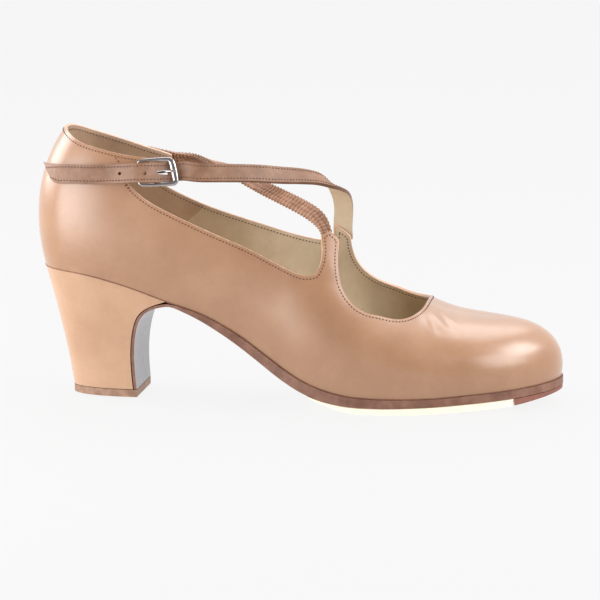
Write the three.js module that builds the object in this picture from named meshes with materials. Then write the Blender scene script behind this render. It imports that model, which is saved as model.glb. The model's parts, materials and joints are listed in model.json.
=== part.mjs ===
// Flamenco shoe for the right foot: a leather upper with two crossed instep straps, on a
// leather sole with a covered heel.
// Millimetres. X runs from heel to toe, Y to the inner side of the foot, Z up.

import * as THREE from 'three';
import { mergeVertices } from 'three/addons/utils/BufferGeometryUtils.js';

// Driving sizes

const LAST = {
  length: 241,
  ballWidth: 76,
  seatHeight: 59.5,
  ballHeight: 7.1,
  toeSpring: 5.2,
  instepHeight: 84,
};

const LEATHER = { wall: 1.8, insole: 2.0 };
const SOLE = { thickness: 4.0, ledge: 0.8, breastFlap: 1.3 };
const HALF_SOLE = { thickness: 2.9 };
const HEEL = { bottomWidth: 32, bottomLength: 32.2, lift: 3.7 };
const STRAP = { width: 8.6, thickness: 1.6, tailSlant: 10.5 };
const GATHERED = { width: 6.8, thickness: 1.6, tuck: 18, tuckTaper: 8, tuckWidth: 0.7 };
const BUCKLE = { reach: 16.2, opening: 9.8, wire: 1.6, frontBar: 3.2, prong: 1.1, lean: 1.0, corner: 2.2 };
const LOOP = { width: 6.6, thickness: 0.7, length: 5.5 };

const GLUE_GAP = 0.3;
const OUTER = -1;
const INNER = 1;

// The last: one row for each section from heel to toe.
// along: share of the length at the feather edge, where the upper meets the sole.
// wide, aside: half width and middle of the feather outline, shares of the ball width.
// over, crownAside: place of the section's crown along the length and across.
// crown: height of the crown above the feather edge, share of the instep height.
// belly: share of that height where the section is widest. undercut: how far the feather
// edge lies inside the belly, share of the ball width. roundOuter, roundInner: power of the
// section's curve on each side, 2 for an ellipse and more for a squarer shoulder.

const LAST_ROWS = [
  {
    along: 0.000, wide: 0.300, aside: -0.039, over: 0.232, crownAside: -0.039,
    crown: 1.030, belly: 0.27, undercut: 0.043, roundOuter: 2.00, roundInner: 2.00,
  },
  {
    along: 0.083, wide: 0.305, aside: -0.042, over: 0.241, crownAside: -0.037,
    crown: 1.023, belly: 0.27, undercut: 0.039, roundOuter: 2.00, roundInner: 2.00,
  },
  {
    along: 0.166, wide: 0.322, aside: -0.046, over: 0.266, crownAside: -0.033,
    crown: 1.014, belly: 0.27, undercut: 0.034, roundOuter: 2.00, roundInner: 2.00,
  },
  {
    along: 0.249, wide: 0.316, aside: -0.053, over: 0.303, crownAside: -0.026,
    crown: 0.993, belly: 0.27, undercut: 0.037, roundOuter: 2.00, roundInner: 2.00,
  },
  {
    along: 0.332, wide: 0.293, aside: -0.063, over: 0.357, crownAside: -0.013,
    crown: 0.958, belly: 0.26, undercut: 0.042, roundOuter: 2.00, roundInner: 2.00,
  },
  {
    along: 0.394, wide: 0.286, aside: -0.069, over: 0.409, crownAside: 0.000,
    crown: 0.968, belly: 0.25, undercut: 0.045, roundOuter: 2.00, roundInner: 2.00,
  },
  {
    along: 0.456, wide: 0.316, aside: -0.066, over: 0.463, crownAside: 0.020,
    crown: 0.982, belly: 0.24, undercut: 0.042, roundOuter: 2.00, roundInner: 2.05,
  },
  {
    along: 0.539, wide: 0.405, aside: -0.049, over: 0.537, crownAside: 0.046,
    crown: 0.970, belly: 0.24, undercut: 0.032, roundOuter: 2.00, roundInner: 2.15,
  },
  {
    along: 0.622, wide: 0.474, aside: -0.026, over: 0.618, crownAside: 0.075,
    crown: 0.720, belly: 0.26, undercut: 0.020, roundOuter: 2.05, roundInner: 2.35,
  },
  {
    along: 0.685, wide: 0.500, aside: -0.007, over: 0.676, crownAside: 0.095,
    crown: 0.560, belly: 0.27, undercut: 0.014, roundOuter: 2.10, roundInner: 2.50,
  },
  {
    along: 0.715, wide: 0.502, aside: 0.000, over: 0.706, crownAside: 0.095,
    crown: 0.502, belly: 0.27, undercut: 0.013, roundOuter: 2.13, roundInner: 2.50,
  },
  {
    along: 0.747, wide: 0.500, aside: 0.007, over: 0.737, crownAside: 0.090,
    crown: 0.451, belly: 0.27, undercut: 0.012, roundOuter: 2.15, roundInner: 2.45,
  },
  {
    along: 0.785, wide: 0.488, aside: 0.013, over: 0.765, crownAside: 0.086,
    crown: 0.408, belly: 0.27, undercut: 0.011, roundOuter: 2.18, roundInner: 2.40,
  },
  {
    along: 0.822, wide: 0.470, aside: 0.020, over: 0.788, crownAside: 0.084,
    crown: 0.376, belly: 0.26, undercut: 0.011, roundOuter: 2.20, roundInner: 2.35,
  },
  {
    along: 0.913, wide: 0.447, aside: 0.034, over: 0.840, crownAside: 0.080,
    crown: 0.334, belly: 0.22, undercut: 0.010, roundOuter: 2.30, roundInner: 2.30,
  },
  {
    along: 1.000, wide: 0.434, aside: 0.045, over: 0.871, crownAside: 0.076,
    crown: 0.306, belly: 0.18, undercut: 0.009, roundOuter: 2.30, roundInner: 2.30,
  },
];

// The feather edge from the side. rise: share of the height from ball to seat.
// spring: share of the toe spring.

const FEATHER_ROWS = [
  { along: 0.000, rise: 1.000, spring: 0 },
  { along: 0.058, rise: 0.992, spring: 0 },
  { along: 0.100, rise: 0.975, spring: 0 },
  { along: 0.141, rise: 0.937, spring: 0 },
  { along: 0.197, rise: 0.866, spring: 0 },
  { along: 0.264, rise: 0.757, spring: 0 },
  { along: 0.330, rise: 0.656, spring: 0 },
  { along: 0.382, rise: 0.534, spring: 0 },
  { along: 0.437, rise: 0.370, spring: 0 },
  { along: 0.492, rise: 0.200, spring: 0 },
  { along: 0.533, rise: 0.104, spring: 0 },
  { along: 0.574, rise: 0.043, spring: 0 },
  { along: 0.627, rise: 0.006, spring: 0 },
  { along: 0.680, rise: 0, spring: 0 },
  { along: 0.750, rise: 0, spring: 0.08 },
  { along: 0.788, rise: 0, spring: 0.19 },
  { along: 0.842, rise: 0, spring: 0.42 },
  { along: 0.896, rise: 0, spring: 0.62 },
  { along: 0.946, rise: 0, spring: 0.80 },
  { along: 1.000, rise: 0, spring: 1 },
];

// The feather outline is closed at both ends by a rounded cap.

const HEEL_CAP = { from: 0.116, power: 2.2 };
const TOE_CAP = { from: 0.822, power: 1.85 };

// A smooth curve through one column of a table, without overshoot (monotone cubic).

function columnOf(rows, key) {
  const x = rows.map((row) => row.along);
  const y = rows.map((row) => row[key]);
  const slope = y.slice(1).map((value, i) => (value - y[i]) / (x[i + 1] - x[i]));
  const tangent = y.map((value, i) => {
    if (i === 0) return slope[0];
    if (i === y.length - 1) return slope[i - 1];
    if (slope[i - 1] * slope[i] <= 0) return 0;
    const before = x[i] - x[i - 1];
    const after = x[i + 1] - x[i];
    const w1 = 2 * after + before;
    const w2 = after + 2 * before;
    return (w1 + w2) / (w1 / slope[i - 1] + w2 / slope[i]);
  });
  return (at) => {
    const clamped = Math.min(Math.max(at, x[0]), x[x.length - 1]);
    let i = 0;
    while (i < x.length - 2 && clamped > x[i + 1]) i += 1;
    const h = x[i + 1] - x[i];
    const t = (clamped - x[i]) / h;
    const a = (1 + 2 * t) * (1 - t) * (1 - t);
    const b = t * (1 - t) * (1 - t);
    const c = t * t * (3 - 2 * t);
    const d = t * t * (t - 1);
    return a * y[i] + b * h * tangent[i] + c * y[i + 1] + d * h * tangent[i + 1];
  };
}

const lastAt = {};
for (const key of Object.keys(LAST_ROWS[0]).slice(1)) {
  lastAt[key] = columnOf(LAST_ROWS, key);
}
const riseAt = columnOf(FEATHER_ROWS, 'rise');
const springAt = columnOf(FEATHER_ROWS, 'spring');

const lerp = THREE.MathUtils.lerp;

function featherHeight(x) {
  const along = x / LAST.length;
  const rise = (LAST.seatHeight - LAST.ballHeight) * riseAt(along);
  return LAST.ballHeight + rise + LAST.toeSpring * springAt(along);
}

const FEATHER_BACK = LAST.ballWidth * lastAt.undercut(0);
const FEATHER_TIP = LAST.length - LAST.ballWidth * lastAt.undercut(1);

// The feather outline at t, from 0 at the back of the heel to 1 at the toe tip, on one side.

function featherPoint(side, t) {
  const x = lerp(FEATHER_BACK, FEATHER_TIP, (1 - Math.cos(Math.PI * t)) / 2);
  const along = x / LAST.length;
  const heelFrom = HEEL_CAP.from * LAST.length;
  const toeFrom = TOE_CAP.from * LAST.length;
  let cap = 1;
  if (x < heelFrom) {
    const share = Math.min((heelFrom - x) / (heelFrom - FEATHER_BACK), 1);
    cap = (1 - share ** HEEL_CAP.power) ** (1 / HEEL_CAP.power);
  }
  if (x > toeFrom) {
    const share = Math.min((x - toeFrom) / (FEATHER_TIP - toeFrom), 1);
    cap = (1 - share ** TOE_CAP.power) ** (1 / TOE_CAP.power);
  }
  const y = LAST.ballWidth * (lastAt.aside(along) + side * lastAt.wide(along) * cap);
  return new THREE.Vector3(x, y, featherHeight(x));
}

// One section of the last at t: its foot on the feather edge, its crown and its belly.

function lastSection(side, t) {
  const foot = featherPoint(side, t);
  const along = foot.x / LAST.length;
  const height = LAST.instepHeight * lastAt.crown(along);
  const crown = new THREE.Vector3(
    LAST.length * lastAt.over(along),
    LAST.ballWidth * lastAt.crownAside(along),
    foot.z + height,
  );
  const reach = Math.hypot(foot.x - crown.x, foot.y - crown.y);
  return {
    foot,
    crown,
    bellyRise: height * lastAt.belly(along),
    undercut: LAST.ballWidth * lastAt.undercut(along),
    round: side === OUTER ? lastAt.roundOuter(along) : lastAt.roundInner(along),
    outX: (foot.x - crown.x) / reach,
    outY: (foot.y - crown.y) / reach,
    reach,
  };
}

// A point of the last. level runs from -1 at the feather edge through 0 at the belly to 1 at
// the crown.

function lastPoint(side, t, level) {
  const section = lastSection(side, t);
  const { foot, crown, bellyRise, undercut, round } = section;
  const belly = section.reach + undercut;
  let away;
  let z;
  if (level < 0) {
    away = belly - undercut * level * level;
    z = foot.z + bellyRise * (1 + level);
  } else {
    const angle = (level * Math.PI) / 2;
    away = belly * Math.cos(angle) ** (2 / round);
    if (level >= 1) away = 0;
    z = lerp(foot.z + bellyRise, crown.z, Math.sin(angle) ** (2 / round));
  }
  return new THREE.Vector3(crown.x + section.outX * away, crown.y + section.outY * away, z);
}

// The level at which a section reaches height z.

function levelAt(side, t, z) {
  const { foot, crown, bellyRise, round } = lastSection(side, t);
  const belly = foot.z + bellyRise;
  if (z < belly) return Math.max((z - foot.z) / bellyRise - 1, -1);
  const share = Math.min((z - belly) / (crown.z - belly), 1);
  return (2 / Math.PI) * Math.asin(share ** (round / 2));
}

// Where a point given from the side, by its x and z, lies on the last.

function onLast(side, x, z) {
  let low = 0;
  let high = 1;
  for (let step = 0; step < 40; step += 1) {
    const t = (low + high) / 2;
    if (lastPoint(side, t, levelAt(side, t, z)).x < x) low = t;
    else high = t;
  }
  const t = (low + high) / 2;
  return { side, t, level: levelAt(side, t, z) };
}

// The top edge of the upper, seen from each side. along: share of the length.
// height: above the feather edge there, share of the instep height.

const TOP_EDGE = {
  [OUTER]: {
    collar: [
      { along: 0.056, height: 0.761 },
      { along: 0.071, height: 0.740 },
      { along: 0.093, height: 0.710 },
      { along: 0.124, height: 0.700 },
      { along: 0.158, height: 0.700 },
      { along: 0.191, height: 0.709 },
    ],
    quarter: [
      { along: 0.189, height: 0.576 },
      { along: 0.209, height: 0.534 },
      { along: 0.237, height: 0.506 },
      { along: 0.284, height: 0.486 },
      { along: 0.332, height: 0.470 },
      { along: 0.378, height: 0.482 },
      { along: 0.426, height: 0.513 },
      { along: 0.473, height: 0.541 },
      { along: 0.508, height: 0.557 },
      { along: 0.533, height: 0.568 },
      { along: 0.550, height: 0.602 },
    ],
    throat: [
      { along: 0.596, height: 0.574 },
      { along: 0.603, height: 0.539 },
      { along: 0.624, height: 0.478 },
      { along: 0.647, height: 0.445 },
      { along: 0.676, height: 0.430 },
    ],
  },
  [INNER]: {
    collar: [
      { along: 0.056, height: 0.761 },
      { along: 0.071, height: 0.740 },
      { along: 0.093, height: 0.716 },
      { along: 0.140, height: 0.698 },
      { along: 0.191, height: 0.691 },
    ],
    quarter: [
      { along: 0.189, height: 0.564 },
      { along: 0.207, height: 0.522 },
      { along: 0.237, height: 0.498 },
      { along: 0.273, height: 0.490 },
      { along: 0.304, height: 0.482 },
      { along: 0.360, height: 0.500 },
      { along: 0.409, height: 0.543 },
      { along: 0.467, height: 0.602 },
      { along: 0.524, height: 0.654 },
      { along: 0.544, height: 0.674 },
    ],
    throat: [
      { along: 0.589, height: 0.622 },
      { along: 0.596, height: 0.580 },
      { along: 0.619, height: 0.520 },
      { along: 0.652, height: 0.479 },
      { along: 0.680, height: 0.462 },
    ],
  },
};

// From its last row the edge of the throat rounds forward to the ridge of the vamp, in a
// quarter of an oval.

const THROAT_FRONT = 0.741;

// Each quarter ends in an ear that reaches forward, one row for each step forward.

const EAR_ROWS = {
  [OUTER]: [
    { along: 0.205, top: 0.716, bottom: 0.598 },
    { along: 0.221, top: 0.728, bottom: 0.619 },
    { along: 0.234, top: 0.733, bottom: 0.640 },
  ],
  [INNER]: [
    { along: 0.205, top: 0.693, bottom: 0.580 },
    { along: 0.223, top: 0.698, bottom: 0.597 },
    { along: 0.241, top: 0.700, bottom: 0.620 },
  ],
};

// A tab stands up on each side of the throat, one row for each step up. peak: how far the middle
// of the row stands above its ends, as a height share.

const TAB_ROWS = {
  [OUTER]: [
    { back: 0.5595, backHeight: 0.668, front: 0.590, frontHeight: 0.650, peak: 0 },
    { back: 0.5610, backHeight: 0.738, front: 0.588, frontHeight: 0.725, peak: 0.006 },
    { back: 0.5570, backHeight: 0.813, front: 0.590, frontHeight: 0.806, peak: 0.034 },
  ],
  [INNER]: [
    { back: 0.555, backHeight: 0.705, front: 0.585, frontHeight: 0.672, peak: 0 },
    { back: 0.556, backHeight: 0.740, front: 0.584, frontHeight: 0.706, peak: 0 },
    { back: 0.556, backHeight: 0.775, front: 0.583, frontHeight: 0.738, peak: 0 },
  ],
};

const TAB_LEAN = 0.32;

// Cells of the upper's net along each run of the top edge, and where on the feather edge the
// columns of that run stand.

const NET_RUNS = {
  collar: { cells: 8, footTo: 0.150 },
  ear: { cells: 2, footTo: 0.185 },
  quarter: { cells: 18, footTo: 0.535 },
  tab: { cells: 2, footTo: 0.580 },
  throat: { cells: 12, footTo: 0.830 },
  ridge: { cells: 11, footTo: 1 },
};
const NET_ROWS = 12;
const FINE_STEPS = 60;

function alongToT(along) {
  const share = (along * LAST.length - FEATHER_BACK) / (FEATHER_TIP - FEATHER_BACK);
  if (along >= 1) return 1;
  return Math.acos(1 - 2 * THREE.MathUtils.clamp(share, 0, 1)) / Math.PI;
}

// Evenly spaced samples of a list of places {t, level}, measured along the last.

function spacedPlaces(side, places, cells) {
  const points = places.map((place) => lastPoint(side, place.t, place.level));
  const run = [0];
  for (let i = 1; i < points.length; i += 1) {
    run.push(run[i - 1] + points[i].distanceTo(points[i - 1]));
  }
  const total = run[run.length - 1];
  const result = [];
  let i = 0;
  for (let k = 0; k <= cells; k += 1) {
    const target = (total * k) / cells;
    while (i < run.length - 2 && run[i + 1] < target) i += 1;
    const share = (target - run[i]) / (run[i + 1] - run[i] || 1);
    result.push({
      t: lerp(places[i].t, places[i + 1].t, share),
      level: lerp(places[i].level, places[i + 1].level, share),
    });
  }
  return result;
}

function straightPlaces(from, to) {
  const places = [];
  for (let i = 0; i <= FINE_STEPS; i += 1) {
    const share = i / FINE_STEPS;
    places.push({ t: lerp(from.t, to.t, share), level: lerp(from.level, to.level, share) });
  }
  return places;
}

function sidePoint(along, height) {
  const x = along * LAST.length;
  return new THREE.Vector3(x, 0, featherHeight(x) + height * LAST.instepHeight);
}

function sideCurve(rows) {
  const points = rows.map((row) => sidePoint(row.along, row.height));
  return new THREE.CatmullRomCurve3(points, false, 'centripetal');
}

function placeAt(side, along, height) {
  const point = sidePoint(along, height);
  return onLast(side, point.x, point.z);
}

// The collar runs around the back of the heel, where the side view says little about depth,
// so each of its places is found from its section.

function collarPlaces(side) {
  const rows = TOP_EDGE[side].collar;
  const heightOf = columnOf(rows, 'height');
  const end = rows[rows.length - 1];
  const last = placeAt(side, end.along, end.height).t;
  const places = [];
  for (let i = 0; i <= FINE_STEPS; i += 1) {
    const t = (last * i) / FINE_STEPS;
    let level = 0.5;
    for (let pass = 0; pass < 12; pass += 1) {
      const { x } = lastPoint(side, t, level);
      const height = heightOf(x / LAST.length);
      level = levelAt(side, t, featherHeight(x) + height * LAST.instepHeight);
    }
    places.push({ t, level });
  }
  return places;
}

function crownT(along) {
  let low = 0;
  let high = 1;
  for (let step = 0; step < 40; step += 1) {
    const t = (low + high) / 2;
    if (lastSection(OUTER, t).crown.x < along * LAST.length) low = t;
    else high = t;
  }
  return low;
}

const THROAT_T = crownT(THROAT_FRONT);

// Tops of the columns on one side, from the back of the heel to the toe tip.

function columnTops(side) {
  const edge = TOP_EDGE[side];
  const solve = (point) => onLast(side, point.x, point.z);
  const collar = spacedPlaces(side, collarPlaces(side), NET_RUNS.collar.cells);
  const quarterFine = sideCurve(edge.quarter).getPoints(FINE_STEPS).map(solve);
  const quarter = spacedPlaces(side, quarterFine, NET_RUNS.quarter.cells);
  const throatFine = sideCurve(edge.throat).getPoints(FINE_STEPS).map(solve);
  const turn = throatFine[throatFine.length - 1];
  for (let i = 1; i <= FINE_STEPS; i += 1) {
    const angle = (i / FINE_STEPS) * (Math.PI / 2);
    throatFine.push({
      t: lerp(turn.t, THROAT_T, Math.sin(angle)),
      level: lerp(1, turn.level, Math.cos(angle)),
    });
  }
  const throat = spacedPlaces(side, throatFine, NET_RUNS.throat.cells);
  const ear = straightPlaces(collar[collar.length - 1], quarter[0]);
  const tab = straightPlaces(quarter[quarter.length - 1], throat[0]);
  const ridge = featherPlaces(side, THROAT_T, 1, NET_RUNS.ridge.cells);
  return [
    ...collar.slice(0, -1),
    ...spacedPlaces(side, ear, NET_RUNS.ear.cells).slice(0, -1),
    ...quarter.slice(0, -1),
    ...spacedPlaces(side, tab, NET_RUNS.tab.cells).slice(0, -1),
    ...throat.slice(0, -1),
    ...ridge.map((place) => ({ t: place.t, level: 1 })),
  ];
}

function featherPlaces(side, from, to, cells) {
  return spacedPlaces(side, straightPlaces({ t: from, level: -1 }, { t: to, level: -1 }), cells);
}

// Feet of the same columns, evenly spaced within each run.

function columnFeet(side) {
  const feet = [];
  let from = 0;
  for (const run of Object.values(NET_RUNS)) {
    const to = alongToT(run.footTo);
    feet.push(...featherPlaces(side, from, to, run.cells).slice(0, -1));
    from = to;
  }
  feet.push({ t: 1, level: -1 });
  return feet;
}

// An open sheet of four-sided cells, seen from outside.

class Sheet {
  constructor() {
    this.points = [];
    this.cells = [];
    this.level = new Set();
  }

  add(point) {
    this.points.push(point);
    return this.points.length - 1;
  }

  normals() {
    const sums = this.points.map(() => new THREE.Vector3());
    for (const cell of this.cells) {
      const [a, b, c, d] = cell.map((index) => this.points[index]);
      const across = c.clone().sub(a);
      const normal = across.cross(d.clone().sub(b));
      for (const index of cell) sums[index].add(normal);
    }
    return sums.map((sum) => sum.normalize());
  }

  // The sheet as a closed wall, thickened inwards. Points in the level set keep their height.

  thicken(wall) {
    const normals = this.normals();
    const inside = this.points.map((point, index) => {
      const moved = point.clone().addScaledVector(normals[index], -wall);
      if (this.level.has(index)) moved.z = point.z;
      return moved;
    });
    const faces = [];
    const edges = new Set();
    for (const cell of this.cells) {
      faces.push(cell.map((index) => this.points[index]));
      faces.push([...cell].reverse().map((index) => inside[index]));
      cell.forEach((from, i) => edges.add(`${from} ${cell[(i + 1) % 4]}`));
    }
    for (const edge of edges) {
      const [from, to] = edge.split(' ').map(Number);
      if (!edges.has(`${to} ${from}`)) {
        faces.push([this.points[to], this.points[from], inside[from], inside[to]]);
      }
    }
    return faces;
  }
}

const upperTabs = {};

function upperSheet() {
  const sheet = new Sheet();
  const columns = [];
  const tipIndex = columnFeet(OUTER).length - 1;
  const firstRidge = tipIndex - NET_RUNS.ridge.cells;
  const sides = [OUTER, INNER].map((side) => {
    const tops = columnTops(side);
    const feet = columnFeet(side);
    return tops.map((top, k) => {
      const places = spacedPlaces(side, straightPlaces(feet[k], top), NET_ROWS);
      return places.map((place) => lastPoint(side, place.t, place.level));
    });
  });
  const addColumn = (points, sharedTop) => {
    const column = points.slice(0, -1).map((point) => sheet.add(point));
    column.push(sharedTop ?? sheet.add(points[points.length - 1]));
    sheet.level.add(column[0]);
    columns.push(column);
  };
  for (let k = 0; k <= tipIndex; k += 1) addColumn(sides[0][k]);
  for (let k = tipIndex - 1; k > 0; k -= 1) {
    const shared = k >= firstRidge ? columns[k][NET_ROWS] : undefined;
    addColumn(sides[1][k], shared);
  }
  const count = columns.length;
  for (let i = 0; i < count; i += 1) {
    const next = columns[(i + 1) % count];
    for (let row = 0; row < NET_ROWS; row += 1) {
      sheet.cells.push([columns[i][row], next[row], next[row + 1], columns[i][row + 1]]);
    }
  }
  const earStart = NET_RUNS.collar.cells;
  const tabStart = earStart + NET_RUNS.ear.cells + NET_RUNS.quarter.cells;
  for (const side of [OUTER, INNER]) {
    const rootOf = (start) => [start, start + 1, start + 2].map((k) => {
      const column = columns[side === OUTER ? k : count - k];
      return column[NET_ROWS];
    });
    const tabRoot = rootOf(tabStart);
    growPatch(sheet, side, rootOf(earStart), earRows(side));
    const tabFoot = tabRoot.map((index) => sheet.points[index]);
    const tab = tabRows(side, tabFoot);
    upperTabs[side] = [tabFoot, ...tab];
    growPatch(sheet, side, tabRoot, tab);
  }
  return sheet;
}

function earRows(side) {
  return EAR_ROWS[side].map((row) => {
    const heights = [row.top, (row.top + row.bottom) / 2, row.bottom];
    return heights.map((height) => {
      const place = placeAt(side, row.along, height);
      return lastPoint(side, place.t, place.level);
    });
  });
}

// The tabs stand off the last and lean in over the foot.

function tabRows(side, root) {
  return TAB_ROWS[side].map((row) => root.map((foot, i) => {
    const share = i / (root.length - 1);
    const along = lerp(row.back, row.front, share);
    const peak = row.peak * (1 - Math.abs(2 * share - 1));
    const point = sidePoint(along, lerp(row.backHeight, row.frontHeight, share) + peak);
    point.y = foot.y - side * TAB_LEAN * (point.z - foot.z);
    return point;
  }));
}

// Adds rows of cells beyond a stretch of the sheet's top edge.

function growPatch(sheet, side, root, rows) {
  let before = root;
  for (const row of rows) {
    const next = row.map((point) => sheet.add(point));
    for (let i = 0; i < next.length - 1; i += 1) {
      const cell = [before[i], before[i + 1], next[i + 1], next[i]];
      if (side === INNER) cell.reverse();
      sheet.cells.push(cell);
    }
    before = next;
  }
}

// Solids

function closedMesh(name, faces, look) {
  const positions = [];
  for (const face of faces) {
    for (let i = 1; i < face.length - 1; i += 1) {
      const corners = [face[0], face[i], face[i + 1]];
      const area = new THREE.Triangle(...corners).getArea();
      if (area > 1e-7) corners.forEach((corner) => positions.push(corner.x, corner.y, corner.z));
    }
  }
  const geometry = new THREE.BufferGeometry();
  geometry.setAttribute('position', new THREE.Float32BufferAttribute(positions, 3));
  const mesh = new THREE.Mesh(mergeVertices(geometry, 1e-4), new THREE.MeshStandardMaterial(look));
  mesh.name = name;
  return mesh;
}

// Faces of a loft through rings with the same count of points. The ends are closed in strips
// between points that face each other across the ring.

function loftFaces(rings) {
  const count = rings[0].length;
  const faces = [];
  for (let k = 0; k < rings.length - 1; k += 1) {
    for (let i = 0; i < count; i += 1) {
      const j = (i + 1) % count;
      faces.push([rings[k][i], rings[k][j], rings[k + 1][j], rings[k + 1][i]]);
    }
  }
  const first = rings[0];
  const last = rings[rings.length - 1];
  for (let i = 0; i < count / 2 - 1; i += 1) {
    const j = count - 1 - i;
    faces.push([first[i], first[j], first[j - 1], first[i + 1]]);
    faces.push([last[i], last[i + 1], last[j - 1], last[j]]);
  }
  return faces;
}

const SLOPE_STEP = 0.002;

// Plan points of the feather outline, moved outwards by outset.

function outlinePoint(side, t, outset) {
  const before = featherPoint(side, Math.max(t - SLOPE_STEP, 0));
  const after = featherPoint(side, Math.min(t + SLOPE_STEP, 1));
  const here = featherPoint(side, t);
  if (t === 0) return new THREE.Vector2(here.x - outset, here.y);
  if (t === 1) return new THREE.Vector2(here.x + outset, here.y);
  const run = new THREE.Vector2(after.x - before.x, after.y - before.y).normalize();
  return new THREE.Vector2(here.x - side * run.y * outset, here.y + side * run.x * outset);
}

function stations(alongFrom, alongTo, cells) {
  const places = featherPlaces(OUTER, alongToT(alongFrom), alongToT(alongTo), cells);
  return places.map((place) => place.t);
}

// A layer between two heights that follow x, over a stretch of the outline moved outwards.

function layerRings(steps, outset, topOf, bottomOf) {
  return steps.map((t) => {
    const outer = outlinePoint(OUTER, t, outset);
    const inner = outlinePoint(INNER, t, outset);
    return [
      new THREE.Vector3(outer.x, outer.y, bottomOf(outer.x)),
      new THREE.Vector3(inner.x, inner.y, bottomOf(inner.x)),
      new THREE.Vector3(inner.x, inner.y, topOf(inner.x)),
      new THREE.Vector3(outer.x, outer.y, topOf(outer.x)),
    ];
  });
}

// The sole: one row for each change of thickness from the heel breast to the toe.

const SOLE_ROWS = [
  { along: 0.274, thick: 0.26 },
  { along: 0.311, thick: 0.55 },
  { along: 0.353, thick: 0.82 },
  { along: 0.398, thick: 0.98 },
  { along: 0.456, thick: 1.10 },
  { along: 0.540, thick: 1.20 },
  { along: 0.600, thick: 1.10 },
  { along: 0.680, thick: 0.97 },
  { along: 0.780, thick: 0.88 },
  { along: 0.913, thick: 0.92 },
  { along: 1.000, thick: 0.88 },
];
const BREAST_AT = 0.274;
const thickAt = columnOf(SOLE_ROWS, 'thick');

function soleTop(x) {
  return featherHeight(x) - GLUE_GAP;
}

function soleBottom(x) {
  const step = 0.5;
  const slope = (featherHeight(x + step) - featherHeight(x - step)) / (2 * step);
  return soleTop(x) - SOLE.thickness * thickAt(x / LAST.length) * Math.hypot(1, slope);
}

// The heel breast from the side, as the visible face of the sole's thin end that covers it.
// down: share of the way from the waist to the heel lift. back: share of the way from the
// waist's end back to the foot of the breast.

const BREAST_ROWS = [
  { down: 0.000, back: 0.000 },
  { down: 0.014, back: 0.180 },
  { down: 0.046, back: 0.480 },
  { down: 0.102, back: 0.720 },
  { down: 0.190, back: 0.870 },
  { down: 0.360, back: 0.985 },
  { down: 0.550, back: 1.040 },
  { down: 0.780, back: 1.040 },
  { down: 1.000, back: 1.000 },
];
const BREAST_FOOT = 0.200;
const LIFT_TOP = HEEL.lift + GLUE_GAP;

function breastCurve() {
  const startX = BREAST_AT * LAST.length;
  const startZ = soleBottom(startX);
  const points = BREAST_ROWS.map((row) => new THREE.Vector3(
    lerp(startX, BREAST_FOOT * LAST.length, row.back),
    0,
    lerp(startZ, LIFT_TOP, row.down),
  ));
  return new THREE.CatmullRomCurve3(points, false, 'centripetal');
}

// Points of the breast curve moved towards the heel block.

function breastPoints(offset, cells) {
  const curve = breastCurve();
  const points = [];
  for (let i = 0; i <= cells; i += 1) {
    const point = curve.getPointAt(i / cells);
    const run = curve.getTangentAt(i / cells);
    const moved = new THREE.Vector3(point.x + run.z * offset, 0, point.z - run.x * offset);
    points.push(i === 0 ? moved.setX(point.x) : moved);
  }
  return points;
}

// The foot of the heel: a D with a straight breast, half width and place from heel to toe.

const HEEL_ROWS = [
  { down: 0.00, back: 0.00, narrow: 0.00 },
  { down: 0.07, back: 0.10, narrow: 0.13 },
  { down: 0.14, back: 0.19, narrow: 0.24 },
  { down: 0.23, back: 0.30, narrow: 0.37 },
  { down: 0.36, back: 0.44, narrow: 0.53 },
  { down: 0.52, back: 0.60, narrow: 0.70 },
  { down: 0.68, back: 0.76, narrow: 0.84 },
  { down: 0.84, back: 0.89, narrow: 0.94 },
  { down: 1.00, back: 1.00, narrow: 1.00 },
];
const HEEL_SIDE_CELLS = 12;
const HEEL_POWER = 2.5;
const HEEL_TOP_FRONT = 0.256;
const HEEL_MIDDLE_AT = 0.15;
const BREAST_GAP = 0.5;
const HEEL_SEAT_BACK = featherPoint(OUTER, 0);

// Shares across and back at a step around half of the D, 0 at the breast, 1 at the back.

function heelTurn(k) {
  const angle = (k / HEEL_SIDE_CELLS) * (Math.PI / 2);
  return {
    out: Math.cos(angle) ** (2 / HEEL_POWER) * (k < HEEL_SIDE_CELLS ? 1 : 0),
    back: Math.sin(angle) ** (2 / HEEL_POWER),
  };
}

const HEEL_MIDDLE = LAST.ballWidth * lastAt.aside(HEEL_MIDDLE_AT);

function heelFoot(side, k, frontX) {
  const turn = heelTurn(k);
  const backX = BREAST_FOOT * LAST.length - HEEL.bottomLength;
  return new THREE.Vector3(
    lerp(frontX, backX, turn.back),
    HEEL_MIDDLE + (side * turn.out * HEEL.bottomWidth) / 2,
    LIFT_TOP,
  );
}

function heelSeat(side, k) {
  const turn = heelTurn(k);
  const x = lerp(HEEL_TOP_FRONT * LAST.length, FEATHER_BACK, turn.back);
  const point = featherPoint(side, alongToT(x / LAST.length));
  return new THREE.Vector3(x, k === HEEL_SIDE_CELLS ? HEEL_SEAT_BACK.y : point.y, soleTop(x));
}

const narrowAt = columnOf(HEEL_ROWS.map((row) => ({ ...row, along: row.down })), 'narrow');

function crossingX(points, z) {
  for (let i = 1; i < points.length; i += 1) {
    const above = points[i - 1];
    const below = points[i];
    if (z <= above.z && z >= below.z) {
      return lerp(above.x, below.x, (above.z - z) / (above.z - below.z));
    }
  }
  return z > points[0].z ? points[0].x : points[points.length - 1].x;
}

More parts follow.
